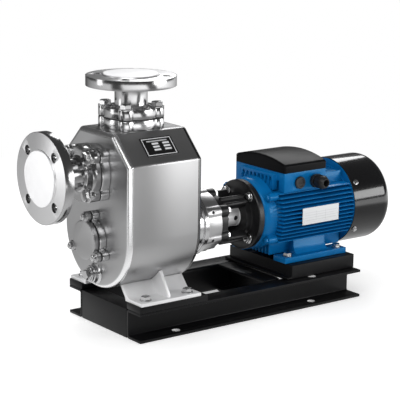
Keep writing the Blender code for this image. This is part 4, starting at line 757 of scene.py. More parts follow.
def lofted(name, loops):
    """Closed outlines across X bridged in order, with the last one filled. Each is (x, outline)."""
    traced = []
    for x, outline in loops:
        traced.append(settle(trace("loop", [place("X", x, y, z) for y, z in outline], True)))
    obj = joined(name, traced)
    bpy.ops.object.mode_set(mode="EDIT")
    bpy.ops.mesh.select_mode(type="EDGE")
    bpy.ops.mesh.select_all(action="SELECT")
    bpy.ops.mesh.bridge_edge_loops()
    bpy.ops.mesh.select_all(action="DESELECT")
    bpy.ops.object.mode_set(mode="OBJECT")
    vertices = obj.data.vertices
    for edge in obj.data.edges:
        edge.select = all(abs(vertices[i].co[0] - loops[-1][0]) < 1e-6 for i in edge.vertices)
    bpy.ops.object.mode_set(mode="EDIT")
    bpy.ops.mesh.edge_face_add()
    return outward(obj)


def dished_head(name, face, way):
    """A flat face with a rounded rim and a wall behind it. way points into the casing."""
    rim = sizes().rim_radius
    depth = high("drive_head", "X") - low("drive_head", "X")
    loops = [(face + way * depth, casing_outline(0.0))]
    for t in quarter(8):
        loops.append((face + way * rim * (1 - sin(t)), casing_outline(rim * (1 - cos(t)))))
    return thicken(lofted(name, loops), HEAD_WALL)


class PUMP_OT_casing(bpy.types.Operator):
    """Adds the welded casing: the shell and its two pressed heads"""

    bl_idname = "pump.casing"
    bl_label = "Casing"

    def execute(self, context):
        span = ends("casing_shell", "X")
        body = shell("casing_sheet", "X", casing_outline(0.0), *span, SHELL_WALL)
        top = high("casing_shell", "Z")
        drill(body, "Z", [(DISCHARGE_X, 0)], PIPE_BORE, top, top, 48)
        bevel(body, 0.0005, 2, 60)
        done(body, finish(satin_sheet, "Z", 0.74), STEEL, "casing_shell")

        head = dished_head("suction_end", HEAD_FACE, 1)
        for z, bore in ((SUCTION_Z, PIPE_BORE), (SHAFT_Z, 0.025), (middle("drain_boss", "Z"), 0.0095)):
            drill(head, "X", [(0, z)], bore, HEAD_FACE, HEAD_FACE, 48)
        pin_x, pin_z = middle("flap_pin", "X"), middle("flap_pin", "Z")
        parts = [head]
        for side in (-1, 1):
            y = sorted((side * 0.0105, side * 0.0145))
            ear = block("ear", (HEAD_FACE + 0.003, pin_x + 0.0065), y, (pin_z - 0.0065, pin_z + 0.0065))
            drill(ear, "Y", [(pin_x, pin_z)], 0.0033, *y, 24)
            parts.append(bevel(ear, 0.002, 3))
        head = joined("suction_end", parts)
        # Painted highlight: the suction head's rim takes the default shine of 1.5.
        done(head, finish(satin_sheet, "Y", 0.76, HEAD_FACE, 1), STEEL, "suction_head")

        end = dished_head("drive_end", DRIVE_FACE, -1)
        drill(end, "X", [SHAFT], 0.053, DRIVE_FACE, DRIVE_FACE, 96)
        # Painted shade: the drive end's steel is set darker (0.66), and its rim much darker (0.25).
        done(end, finish(satin_sheet, "Y", 0.66, DRIVE_FACE, -1, 0.25), STEEL, "drive_head")
        return {"FINISHED"}


def pipe_flange(name, axis, centre, way):
    """Flange with raised face, neck with weld beads, and the lobed joint flange."""
    node = name + "_nozzle"
    joint, raised = ends(node, axis)[::way]
    face = raised - way * 0.002
    back = face - way * 0.018
    joint_face = joint + way * 0.0175
    neck, bead = 0.030, sizes().weld_width
    profile = [(joint_face - way * 0.003, PIPE_BORE), (joint_face - way * 0.003, neck + bead)]
    profile += [(joint_face, neck + bead), (joint_face + way * bead * 0.5, neck + bead * 0.6)]
    profile += [(joint_face + way * bead, neck), (back - way * 0.008, neck)]
    profile += [(back - way * 0.0045, neck + 0.0012), (back - way * 0.0015, neck + 0.0042)]
    profile += [(back, neck + 0.008), (back, PIPE_RIM), (face, PIPE_RIM), (face, 0.0515)]
    profile += [(raised, 0.051), (raised, PIPE_BORE)]
    flange = turned(name + "_flange", axis, centre, profile, 128)
    drill(flange, axis, circle(centre, PIPE_HOLE_CIRCLE, 4, pi / 4), PIPE_HOLE, back, face)
    bevel(flange, sizes().flange_chamfer, 2, 40)
    plate = bored("joint", axis, centre, lobed(centre, *JOINT_LOBES), PIPE_BORE, joint, joint_face)
    bevel(plate, 0.0010, 2, 40)
    piece = joined(name + "_flange", [flange, plate])
    done(piece, finish(turned_steel, axis, *centre, face + way * 0.001, 0.72), STEEL, node)
    return joint_face


class PUMP_OT_nozzles(bpy.types.Operator):
    """Adds both pipe flanges with their necks, bolted joints and blank covers"""

    bl_idname = "pump.nozzles"
    bl_label = "Pipe flanges"

    def execute(self, context):
        for name, axis, centre, way in (
            ("suction", "X", (0, SUCTION_Z), -1),
            ("discharge", "Z", (DISCHARGE_X, 0), 1),
        ):
            joint_face = pipe_flange(name, axis, centre, way)

            node = name + "_body_flange"
            outline = lobed(centre, *JOINT_LOBES)
            seat = bored(name + "_seat", axis, centre, outline, PIPE_BORE, *ends(node, axis))
            bevel(seat, 0.0010, 2, 40)
            done(seat, finish(polished_steel), STEEL, node)

            node = name + "_gasket"
            outline = lobed(centre, 0.0500, 0.0125, *JOINT_LOBES[2:])
            ring = bored(name + "_packing", axis, centre, outline, PIPE_BORE, *ends(node, axis))
            done(ring, finish(gasket_rubber), "black_rubber", node)

            spots = circle(centre, JOINT_LOBES[2], 4, pi / 4)
            bolted(name + "_joint_screws", screw(sizes().joint_screw), axis, way, joint_face, spots)

            node = name + "_blank_cover"
            wavy = []
            for t in [2 * pi * i / 96 for i in range(96)]:
                wavy += polar(centre, 0.0498 + 0.0007 * sin(3 * t + 0.6) + 0.0004 * sin(7 * t), [t])
            disc = prism(name + "_cover_disc", axis, wavy, *ends(node, axis)[::way])
            bevel(disc, 0.0004, 2, 40)
            done(disc, finish(white_sheet_with_painted_glow), "white_plastic", node)
        return {"FINISHED"}


class PUMP_OT_cleanout(bpy.types.Operator):
    """Adds the cleanout port with its cover and nuts, and the drain with its plug"""

    bl_idname = "pump.cleanout"
    bl_label = "Cleanout and drain"

    def execute(self, context):
        turn = pi / 2 + radians(5)
        outline = lobed(SHAFT, 0.036, 0.0095, 0.044, 3, turn)
        bright = finish(polished_steel)
        ring = bored("cleanout_ring_shaped", "X", SHAFT, outline, 0.025, *ends("cleanout_ring", "X"))
        bevel(ring, 0.001, 2, 40)
        done(ring, bright, STEEL, "cleanout_ring")
        ring = bored("cleanout_gasket_shaped", "X", SHAFT, outline, 0.025, *ends("cleanout_gasket", "X"))
        done(ring, finish(gasket_rubber), "black_rubber", "cleanout_gasket")
        face, back = ends("cleanout_cover", "X")
        cover = prism("cleanout_lid", "X", outline, face, back)
        bevel(cover, 0.0018, 3, 40)
        done(cover, finish(satin_sheet, "Y", 0.74), STEEL, "cleanout_cover")
        bolted("cleanout_nuts", screw(0.007, 0.0018), "X", -1, face, circle(SHAFT, 0.044, 3, turn))

        centre = (0, middle("drain_boss", "Z"))
        end, start = ends("drain_boss", "X")
        profile = mm(start, (0, 9.5), (0, 19.5), (-2.5, 16.5), (-4, 16))
        profile += mm(end, (1.2, 16), (0, 14.8), (0, 9.5))
        done(turned("drain_neck", "X", centre, profile, 64), bright, STEEL, "drain_boss")
        tip = low("drain_plug", "X")
        profile = mm(start, (0, 0), (0, 9.2)) + mm(end, (-0.3, 9.2), (-0.3, 13), (-0.8, 13.6))
        profile += mm(end, (-2.6, 13.6), (-3.2, 12.8), (-3.2, 11.8), (-5.2, 11.5), (-5.8, 10.8), (-5.8, 0))
        collar = turned("collar", "X", centre, profile, 64, closed=False)
        body = prism("hex", "X", hexagon(centre, 0.0165, 0.2), tip, end - 0.003)
        profile = mm(end, (0, 0), (0, 20)) + mm(tip, (1.4, 9.6), (0, 7.8), (0, 0))
        combine(body, turned("dome", "X", centre, profile, 48, closed=False), "INTERSECT")
        done(joined("drain_stopper", [collar, body]), bright, STEEL, "drain_plug")
        return {"FINISHED"}


class PUMP_OT_feet(bpy.types.Operator):
    """Adds the pump's two feet with their gussets and screws"""

    bl_idname = "pump.feet"
    bl_label = "Pump feet"

    def execute(self, context):
        arc_z = low("casing_shell", "Z") + CASING_RADIUS
        reach = CASING_RADIUS + 0.0006

        def under(y):
            return arc_z - sqrt(reach**2 - y**2)

        out, inner, leg = 0.1175, 0.0665, 0.0505
        for side, name in ((-1, "front"), (1, "rear")):
            node = name + "_pump_foot"
            x0, x1 = ends(node, "X")
            z0 = low(node, "Z")
            z1 = z0 + 0.006
            section = [(out, z0), (out, z1), (inner + 0.013, z1), (inner + 0.009, z1 + 0.0015)]
            section += [(leg + 0.006, under(leg + 0.006)), (leg, under(leg))]
            section += [(inner - 0.001, z1), (inner, z0)]
            foot = prism(name + "_foot", "X", [(side * y, z) for y, z in section], x0, x1)
            top = z1 + 0.044
            edge = [leg + 0.003 + (0.0795 - leg) * i / 8 for i in range(9)]
            rib = [(y, under(y)) for y in edge if under(y) < top]
            rib += [(edge[len(rib)], top), (out - 0.008, z1 + 0.004), (out - 0.008, z1 - 0.002)]
            rib = [(side * y, z) for y, z in rib + [(inner + 0.006, z1 - 0.002)]]
            mid = (x0 + x1) / 2
            fuse(foot, prism("gusset", "X", rib, mid - 0.003, mid + 0.003))
            spots = [(x, side * (out - 0.016)) for x in (x0 + 0.02, x1 - 0.02)]
            drill(foot, "Z", spots, 0.006, z0, z1, 24)
            bevel(foot, 0.0009, 2, 35)
            done(foot, finish(cast_steel_with_painted_light), STEEL, node)
            bolted(name + "_foot_screws", screw(sizes().foot_screw), "Z", 1, z1, spots)
        return {"FINISHED"}


def channel_section(height):
    """One folded channel's (y, z) section: rounded outside and inside the two bends."""
    inner, outer, fold, small = 0.075, 0.118, 0.0065, 0.0025
    web = inner + SHEET + small
    upper, lower = height - fold, fold
    points = [(outer, SHEET), (outer, 0)]
    points += [(inner + fold - fold * sin(t), lower - fold * cos(t)) for t in quarter()]
    points += [(inner + fold - fold * cos(t), upper + fold * sin(t)) for t in quarter()]
    points += [(outer, height), (outer, height - SHEET)]
    points += [(web - small * sin(t), height - SHEET - small + small * cos(t)) for t in quarter()]
    return points + [(web - small * cos(t), SHEET + small - small * sin(t)) for t in quarter()]


class PUMP_OT_base(bpy.types.Operator):
    """Adds the base frame: folded channels, cross-members, pads and the motor's stand"""

    bl_idname = "pump.base"
    bl_label = "Base frame"

    def execute(self, context):
        paint = finish(black_coat, 0.34)
        height = high("front_channel", "Z")
        for side, name in ((-1, "front"), (1, "rear")):
            node = name + "_channel"
            section = [(side * y, z) for y, z in channel_section(height)]
            channel = prism(name + "_rail", "X", section, *ends(node, "X"))
            hole_y = side * FLOOR_HOLE_Y
            drill(channel, "Z", [(x, hole_y) for x in floor_hole_places()], FLOOR_HOLE, 0, 0)
            bevel(channel, 0.0006, 2, 50)
            done(channel, finish(black_coat, 0.34, 0.18, hole_y), PAINT, node)

            node = name + "_pump_pad"
            pad = block(name + "_pad", ends(node, "X"), ends(node, "Y"), ends(node, "Z"))
            bevel(pad, 0.0008, 2)
            done(pad, paint, PAINT, node)
        for name, way in (("left", 1), ("middle", -1), ("right", -1)):
            node = name + "_cross_member"
            web, far = ends(node, "X")[::way]
            fold = web + way * SHEET
            section = [(web, 0), (far, 0), (far, SHEET), (fold, SHEET), (fold, height - SHEET)]
            section += [(far, height - SHEET), (far, height), (web, height)]
            beam = prism(name + "_beam", "Y", section, *ends(node, "Y"))
            bevel(beam, 0.0012, 3, 50)
            done(beam, paint, PAINT, node)

        (x0, x1), (y0, y1), (z0, z1) = [ends("motor_stand", axis) for axis in "XYZ"]
        lip = 0.012
        stand = block("stand", (x0 + lip, x1), (y0, y1), (z0, z1))
        inside = ((x0 + lip + SHEET, x1 - SHEET), (y0 + SHEET, y1 - SHEET), (z0 - BEYOND, z1 - SHEET))
        cut(stand, block("hollow", *inside))
        fuse(stand, block("lip", (x0, x0 + lip + 0.0025), (y0, y1), (z0, z0 + SHEET)))
        drill(stand, "Z", motor_bolt_places(-1) + motor_bolt_places(1), 0.005, z1 - 0.01, z1, 24)
        bevel(stand, 0.0016, 3, 50)
        done(stand, paint, PAINT, "motor_stand")
        return {"FINISHED"}


class PUMP_OT_drive(bpy.types.Operator):
    """Adds the neck, the lobed seal plate, the cast lantern and the coupling"""

    bl_idname = "pump.drive"
    bl_label = "Drive end"

    def execute(self, context):
        x0, x1 = ends("drive_neck", "X")
        profile = mm(x0, (0, 53), (0, 61.5), (2, 60), (4, 58))
        profile += mm(x1 - 0.009, (-1, 58), (0, 59), (0, 61), (0.6, 61.5))
        profile += mm(x1, (-0.6, 61.5), (0, 60.9), (0, 53))
        neck = turned("neck_ring", "X", SHAFT, profile, 128)
        done(neck, finish(turned_steel, "X", *SHAFT), STEEL, "drive_neck")
        self.seal_plate()
        self.lantern()
        self.coupling()
        self.screws()
        return {"FINISHED"}

    def seal_plate(self):
        back, face = ends("seal_plate", "X")
        start = face - 0.033
        outline = lobed(SHAFT, 0.057, 0.014, 0.047, *SEAL_TURN)
        plate = bored("lobed_plate", "X", SHAFT, outline, 0.0455, start, face, 96)
        for y, z in polar(SHAFT, 0.0545, (pi * 5 / 6, pi * 7 / 6)):
            cut(plate, rod("Y", (face - 0.020, z), 0.0028, y - 0.03, y + 0.004, 24))
        bevel(plate, 0.0012, 3, 35)
        profile = mm(back, (0, 15), (0, 52.7)) + mm(start, (2, 52.7), (2, 45))
        profile += mm(back, (6, 45), (6, 27), (34, 27), (34, 21), (6, 21), (6, 15))
        plate = joined("lobed_plate", [plate, turned("spigot", "X", SHAFT, profile, 96)])
        done(plate, finish(satin_sheet, "Z", 0.9), STEEL, "seal_plate")

    def lantern(self):
        start, end = ends("lantern", "X")
        disc, ring_end = end - LANTERN_DISC, start + LANTERN_RING
        profile = mm(disc, (-12, 23.5), (-12, 42.5), (-1.5, 44), (0, 46), (1.2, 64), (0, 66.5), (1.5, 68))
        profile += mm(end, (-1, 68), (0, 67), (0, 23.5))
        parts = [turned("flange", "X", SHAFT, profile, 128)]
        outline = lobed(SHAFT, 0.0500, 0.0120, 0.047, *SEAL_TURN)
        ring = bored("ring", "X", SHAFT, outline, 0.034, start, ring_end, 96)
        parts.append(bevel(ring, 0.0012, 3, 35))
        section = mm(0, (38, -11), (50.5, -11), (53, -8.5), (53, -5), (50, -3.5))
        section += [(r, -a) for r, a in section[::-1]]
        for t in crossed(ARM_ANGLE):
            arm = prism("arm", "X", swung(section, t), start + 0.015, disc - 0.009)
            parts.append(bevel(arm, 0.0010, 2, 25))
        done(joined("lantern_casting", parts), finish(cast_black), PAINT, "lantern")

    def coupling(self):
        """Sleeve with two collars and two set screws, which turn with the rotor."""
        start, end = low("coupling_sleeve", "X"), high("coupling_sleeve", "X") + 0.009
        profile = mm(start, (0, 12.3), (0, 19.5), (1, 20.5)) + mm(end, (-13.2, 20.5), (-12.6, 19.7))
        profile += mm(end, (-11, 19.7), (-10.4, 21.1), (-6.6, 21.1), (-6, 19.9), (-4.6, 19.9), (-4, 21.1))
        profile += mm(end, (-1, 21.1), (0, 19.5), (0, 12.3))
        sleeve = turned("coupling_barrel", "X", SHAFT, profile, 96)
        spots = [(start + 0.022, SHAFT_Z - 0.001), (end - 0.020, SHAFT_Z - 0.001)]
        cut(sleeve, rods("Y", spots, 0.0052, -0.03, -0.016))
        bevel(sleeve, 0.0003, 1, 50)
        done(sleeve, finish(cast_steel_with_painted_light), STEEL, "coupling_sleeve", body=ROTOR)
        grubs = []
        for spot in spots:
            grub = rod("Y", spot, 0.0044, -0.0188, -0.0150, 32)
            cut(grub, prism("socket", "Y", hexagon(spot, 0.0042), -0.03, -0.0165))
            grubs.append(bevel(grub, 0.0003, 1, 40))
        done(joined("coupling_screws", grubs), finish(moulded_black), STEEL, body=ROTOR)

    def screws(self):
        """Screws through the lantern's ring and disc."""
        start, end = ends("lantern", "X")
        spots = circle(SHAFT, 0.0480, *SEAL_TURN)
        bolted("seal_screws", screw(0.008), "X", 1, start + LANTERN_RING, spots)
        spots = polar(SHAFT, 0.0535, crossed(ARM_ANGLE))
        bolted("lantern_screws", screw(0.009), "X", -1, end - LANTERN_DISC, spots)


def barrel_outline(steps=3):
    """The barrel's section with tapering fins that have round tips."""
    core, tips = 0.068, 0.088
    side_z = [-0.047 + 0.094 * i / 12 for i in range(13)]
    top_y = [0.045 - 0.09 * i / 9 for i in range(10)]
    top = high("motor_barrel", "Z") - SHAFT_Z
    bottom = SHAFT_Z - low("motor_barrel", "Z")
    tip_half, root_half = 0.0011, 0.0017
    points = []

    def root(a):
        return a, sqrt(core**2 - a**2)

    def fin(centre, tip, turn):
        """One fin's points, rising along its own height and crossing from one side to the other."""
        crown = (centre, tip - tip_half)
        made = [root(centre - root_half), (centre - tip_half, tip - tip_half)]
        made += polar(crown, tip_half, [pi - pi * k / steps for k in range(1, steps)])
        made += [(centre + tip_half, tip - tip_half), root(centre + root_half)]
        return [turn(across, up) for across, up in made]

    for z in side_z:
        points += fin(z, sqrt(tips**2 - z**2), lambda a, up: (up, a))
    for y in top_y:
        points += fin(-y, top, lambda a, up: (-a, up))
    for z in side_z[::-1]:
        points += fin(-z, sqrt(tips**2 - z**2), lambda a, up: (-up, -a))
    for y in top_y[::-1]:
        points += fin(y, bottom, lambda a, up: (a, -up))
    return [(y, SHAFT_Z + z) for y, z in points]


class PUMP_OT_motor(bpy.types.Operator):
    """Adds the motor: finned barrel, end shields and feet"""

    bl_idname = "pump.motor"
    bl_label = "Motor"

    def execute(self, context):
        span = ends("motor_barrel", "X")
        barrel = bored("finned_barrel", "X", SHAFT, barrel_outline(), 0.0603, *span, 96)
        done(barrel, finish(motor_blue), BLUE, "motor_barrel", smooth=40)
        self.shields()
        for side, name in ((-1, "front"), (1, "rear")):
            self.foot(side, name)
        return {"FINISHED"}

    def shields(self):
        start, end = ends("drive_shield", "X")
        profile = mm(start, (0, 21), (0, 65.5), (1.2, 67.8), (5, 70), (16, 70.8))
        profile += mm(end, (-0.8, 71.2), (0, 70.4), (0, 60)) + mm(start, (14, 54), (6, 32.3))
        profile += mm(end, (-6, 32.3), (-6, 26.3), (-21.3, 26.3), (-21.3, 21))
        parts = [turned("shield", "X", SHAFT, profile, 128)]
        web = mm(0, (66, -7.8), (77, -7.8), (77, 7.8), (66, 7.8))
        spots = polar(SHAFT, 0.077, crossed(SHIELD_ANGLE))
        for t, spot in zip(crossed(SHIELD_ANGLE), spots):
            lug = rod("X", spot, 0.0078, start + 0.009, end, 32)
            fuse(lug, prism("web", "X", swung(web, t), start + 0.010, end))
            parts.append(bevel(lug, 0.001, 2, 40))
        done(joined("front_shield", parts), finish(motor_blue), BLUE, "drive_shield")
        model = screw(sizes().small_screw)
        bolted("shield_screws", model, "X", -1, start + 0.009, spots, motor_blue, BLUE)

        start, end = ends("rear_shield", "X")
        profile = mm(start, (0, 60), (0, 72), (3.3, 72), (3.3, 85.2)) + mm(end, (0, 85.2), (0, 79.2))
        profile += mm(start, (12, 79.2), (12, 32.3), (19, 32.3), (23, 26.3), (23, 13.5), (19.3, 13.5))
        profile += mm(start, (19.3, 26.3), (0, 26.3))
        rear = turned("back_shield", "X", SHAFT, profile, 128)
        done(rear, finish(motor_blue), BLUE, "rear_shield")

    def foot(self, side, name):
        node = name + "_motor_foot"
        x0, x1 = ends(node, "X")
        z0, top = ends(node, "Z")
        z1 = z0 + 0.011
        inner, out = 0.0466, 0.083
        foot = block(name + "_foot_plate", (x0, x1), sorted((side * inner, side * out)), (z0, z1))
        mid = (x0 + x1) / 2
        seat = min(top, SHAFT_Z - sqrt(0.0683**2 - inner**2))
        section = [(inner, z1 - 0.004), (inner + 0.028, z1 - 0.004), (inner + 0.020, z1 + 0.004)]
        section += [(inner + 0.015, z1 + 0.012), (inner + 0.013, top), (inner + 0.001, seat)]
        section = [(side * y, z) for y, z in section + [(inner, seat - 0.002)]]
        fuse(foot, prism("web", "X", section, mid - 0.04, mid + 0.04))
        spots = motor_bolt_places(side)
        drill(foot, "Z", spots, 0.005, z0, z1 + 0.01, 24)
        bevel(foot, 0.0018, 3, 35)
        done(foot, finish(motor_blue), BLUE, node)
        bolted(name + "_motor_foot_screws", screw(sizes().foot_screw * 0.9), "Z", 1, z1, spots)


class PUMP_OT_terminal_box(bpy.types.Operator):
    """Adds the terminal box with its lid, blanking plug and cable gland"""

    bl_idname = "pump.terminal_box"
    bl_label = "Terminal box"

    def execute(self, context):
        self.box()
        self.lid()
        self.plug()
        self.gland()
        return {"FINISHED"}

    def box(self):
        (x0, x1), (_, half), (skirt, top) = [ends("terminal_box", axis) for axis in "XYZ"]
        inner = half - 0.017
        floor = high("motor_barrel", "Z") + 0.0003
        section = [(-half, skirt), (-inner, skirt), (-inner, floor), (inner, floor), (inner, skirt)]
        section += [(half, skirt), (half, top), (-half, top)]
        box = prism("junction_box", "X", section, x0, x1)
        comb_x = low("motor_barrel", "X") + 0.0012
        fuse(box, block("comb", (comb_x, x0 + 0.002), (-0.0515, 0.0475), (0.2255, top - 0.0035)))
        slots = []
        arc = [pi * k / 8 for k in range(9)]
        for y in [0.0386 - 0.0116 * i for i in range(8)]:
            arch = [(y - 0.0036, 0.215), (y + 0.0036, 0.215)] + polar((y, top - 0.0128), 0.0036, arc)
            slots.append(prism("slot", "X", arch, x0 - 0.03, x0 + 0.006))
        cut(box, joined("slots", slots))
        wall = 0.004
        inside = ((x0 + wall, x1 - wall), (wall - half, half - wall), (floor + wall, top + BEYOND))
        cut(box, block("hollow", *inside))
        spots = [(x0 + 0.038, top - 0.021), (x0 + 0.076, top - 0.021)]
        drill(box, "Y", spots, 0.0098, -half, -half)
        bevel(box, 0.0011, 2, 40)
        done(box, finish(motor_blue), BLUE, "terminal_box")

    def lid(self):
        (x0, x1), (_, half), (skirt, top) = [ends("terminal_lid", axis) for axis in "XYZ"]
        crown = top - (skirt + 0.0155)
        bend = (half**2 + crown**2) / (2 * crown)
        sweep = asin(half / bend)
        outline = []
        for t in [-sweep + 2 * sweep * i / 24 for i in range(25)]:
            outline.append((bend * sin(t), top - bend * (1 - cos(t))))
        lid = prism("box_lid", "X", outline + [(half, skirt), (-half, skirt)], x0, x1)
        bpy.ops.object.mode_set(mode="EDIT")
        bpy.ops.mesh.select_all(action="DESELECT")
        bpy.ops.mesh.select_mode(type="FACE")
        bpy.ops.object.mode_set(mode="OBJECT")
        for polygon in lid.data.polygons:
            polygon.select = polygon.normal.z < -0.9
        bpy.ops.object.mode_set(mode="EDIT")
        bpy.ops.mesh.delete(type="FACE")
        bpy.ops.object.mode_set(mode="OBJECT")
        bevel(lid, 0.004, 5, 35)
        thicken(lid, 0.0025)
        done(lid, finish(black_coat, 0.32, 0.06), PAINT, "terminal_lid", smooth=45)

    def plug(self):
        face = low("blanking_plug", "Y")
        x, z = middle("blanking_plug", "X"), middle("blanking_plug", "Z")
        seat = low("terminal_box", "Y") - 0.0003
        profile = mm(seat, (4, 0), (4, 9.5), (0, 9.5), (0, 12))
        profile += mm(face, (1.2, 12), (0, 10.8), (0, 8), (1, 7.4), (1, 0))
        plug = turned("entry_plug", "Y", (x, z), profile, 64, closed=False)
        across, up = (x - 0.007, x + 0.007), (z - 0.001, z + 0.001)
        cut(plug, block("slot", across, (face - 0.001, face + 0.002), up))
        done(plug, finish(moulded_black), "black_plastic", "blanking_plug")

    def gland(self):
        centre = (middle("cable_gland", "X"), middle("cable_gland", "Z"))
        seat = low("terminal_box", "Y") - 0.0003
        tip = low("cable_gland", "Y")
        profile = mm(seat, (4, 6.5), (4, 9.5), (0, 9.5), (0, 12.5), (-1.8, 13), (-2, 10.5), (-12, 10.5))
        profile += mm(seat, (-12.4, 12.8)) + mm(tip, (10, 12.8), (7, 12.3), (3, 10.5), (0.8, 9), (0, 8))
        profile += mm(tip, (0, 7), (2, 6.5))
        body = turned("gland", "Y", centre, profile, 64)
        nut = prism("nut", "Y", hexagon(centre, 0.0252), seat - 0.009, seat - 0.002)
        drill(nut, "Y", [centre], 0.0100, seat - 0.01, seat, 48)
        bevel(nut, 0.0008, 2)
        spots = circle(centre, 0.0126, 18)
        ribs = [rod("Y", spot, 0.0009, tip + 0.009, seat - 0.0130, 8) for spot in spots]
        body = joined("gland_body", [body, nut] + ribs)
        done(body, finish(moulded_black), "black_plastic", "cable_gland")


class PUMP_OT_fan_cover(bpy.types.Operator):
    """Adds the fan cover with its grille and screws"""

    bl_idname = "pump.fan_cover"
    bl_label = "Fan cover"

    def execute(self, context):
        x0, x1 = ends("fan_cover", "X")
        r, wall, corner = 0.087, 0.0015, 0.026

        def bend(size, angles):
            return [(x1 - corner + size * sin(t), r - corner + size * cos(t)) for t in angles]

        profile = [(x0, r - wall), (x0, r)] + bend(corner, quarter(10))
        profile += [(x1, 0.0102), (x1 - wall, 0.0102)] + bend(corner - wall, quarter(10)[::-1])
        cover = turned("fan_shroud", "X", SHAFT, profile, 160)
        half = 0.0026
        slots = []
        for index in range(5):
            mid = 0.0165 + 0.0095 * index
            bar = radians(11) * 0.03 / mid + radians(5)
            steps = 5 + 2 * index
            for sector in range(4):
                start = pi / 2 * sector + bar / 2 + pi / 4
                turn = [start + (pi / 2 - bar) * k / steps for k in range(steps + 1)]
                outline = polar(SHAFT, mid - half, turn) + polar(SHAFT, mid + half, turn[::-1])
                slots.append(prism("slot", "X", outline, x1 - 0.005, x1 + 0.005))
        cut(cover, joined("slots", slots))
        bevel(cover, 0.0004, 1, 50)
        done(cover, finish(cover_black, 0.17), "black_gloss", "fan_cover", smooth=40)

        moves = []
        for t in crossed(SHIELD_ANGLE):
            out = Vector((0, cos(t), sin(t)))
            turn = Vector((1, 0, 0)).rotation_difference(out).to_matrix().to_4x4()
            spot = Vector((x0 + 0.012, 0, SHAFT_Z)) + out * (r - 0.0003)
            moves.append(Matrix.Translation(spot) @ turn)
        done(copies("cover_screws", screw(0.005), moves), finish(polished_steel), STEEL)
        return {"FINISHED"}


class PUMP_OT_plates(bpy.types.Operator):
    """Gives the two name plates their blank finishes"""

    bl_idname = "pump.plates"
    bl_label = "Name plates"

    def execute(self, context):
        paint_node("pump_name_plate", etched_plate())
        paint_node("motor_name_plate", plain_plate())
        return {"FINISHED"}


def bars(value, starts, width, soft):
    """1 within any of these bands of a coordinate, each starting at its own value."""
    bands = [abs(value - (start + width / 2)).within(width / 2, soft) for start in starts]
    total = bands[0]
    for band in bands[1:]:
        total = total | band
    return total


def etched_plate():
    """Black plate with a bright border and empty bright fields."""
    f = Finish("etched_plate", (0.02, 0.02, 0.02), 0.3)
    x, y, z = f.axes()
    node = "pump_name_plate"
    half_long = (high(node, "X") - low(node, "X")) / 2
    rise = high(node, "Z") - low(node, "Z")
    run = high(node, "Y") - low(node, "Y")
    half_tall = hypot(rise, run) / 2
    across = x - middle(node, "X")
    up = (z - middle(node, "Z")) * (rise / 2 / half_tall)
    up = up + (y - middle(node, "Y")) * (run / 2 / half_tall)
    soft = 0.0004
    border = abs((abs(across) - half_long | abs(up) - half_tall) + 0.0032).within(0.0007, soft)
    rows = bars(up, [0.0045, -0.0020, -0.0085], 0.0038, soft)
    columns = bars(across, [-0.013, 0.010], 0.014, soft)
    heading = bars(up, [0.0108], 0.0026, soft) * bars(across, [-0.022], 0.044, soft)
    bright = border | rows * columns | heading * 0.6
    grain = f.noise(300.0, 3.0)
    tone = f.blend(bright, (0.006, 0.006, 0.006, 1), full(colours().plate, 1.15))
    f.set("Metallic", bright * 0.2)
    return f.skin(tone, 0.26 + grain * 0.14, (0.2, 0.6), bright, 0.2, 0.0002)


def plain_plate():
    """Bright plate with empty ruled fields."""
    f = Finish("plain_plate", colours().plate, 0.35, 0.6)
    x, _, z = f.axes()
    node = "motor_name_plate"
    across = x - middle(node, "X")
    up = z - middle(node, "Z")
    soft = 0.0003
    lines = bars(up, [0.0060, 0.0012, -0.0036, -0.0084], 0.0003, soft)
    posts = bars(across, [-0.012, 0.012], 0.0003, soft)
    half_long = (high(node, "X") - low(node, "X")) / 2
    inner = abs(across).within(half_long - 0.006, soft) * abs(up + 0.0014).within(0.0098, soft)
    marks = (lines | posts) * inner * 0.55
    grain = f.noise(1.0, 3.0, 0.6, f.stretched(30.0, 1800.0, 1800.0))
    tone = f.blend(marks, f.tint(grain, 0.9, 1.06), (0.10, 0.10, 0.11, 1))
    return f.skin(tone, 0.28 + grain * 0.15, (0.2, 0.6))


def paint_node(node, material):
    obj = frame["nodes"][node]
    obj.data.materials.clear()
    obj.data.materials.append(material)


class PUMP_OT_inside(bpy.types.Operator):
    """Gives the pieces inside the pump and the motor their finishes"""

    bl_idname = "pump.inside"
    bl_label = "Inner pieces"

    def execute(self, context):
        bearings = ("drive_bearing", "rear_bearing", "pump_shaft", "motor_shaft", "flap_pin")
        for details, nodes in (
            ((satin_sheet, "Z", 0.9), ("suction_duct", "volute")),
            ((cast_stainless,), ("impeller", "impeller_nut")),
            ((turned_steel, "X", 0.0, SHAFT_Z), bearings),
            ((stacked_iron,), ("stator_core", "rotor_core")),
            ((copper_wire,), ("front_winding", "rear_winding")),
            ((gasket_rubber,), ("check_flap", "cleanout_gasket")),
            ((seal_ceramic,), ("seal_seat",)),
            ((moulded_black,), ("seal_ring", "fan", "terminal_block")),
        ):
            for node in nodes:
                paint_node(node, finish(*details))
        return {"FINISHED"}


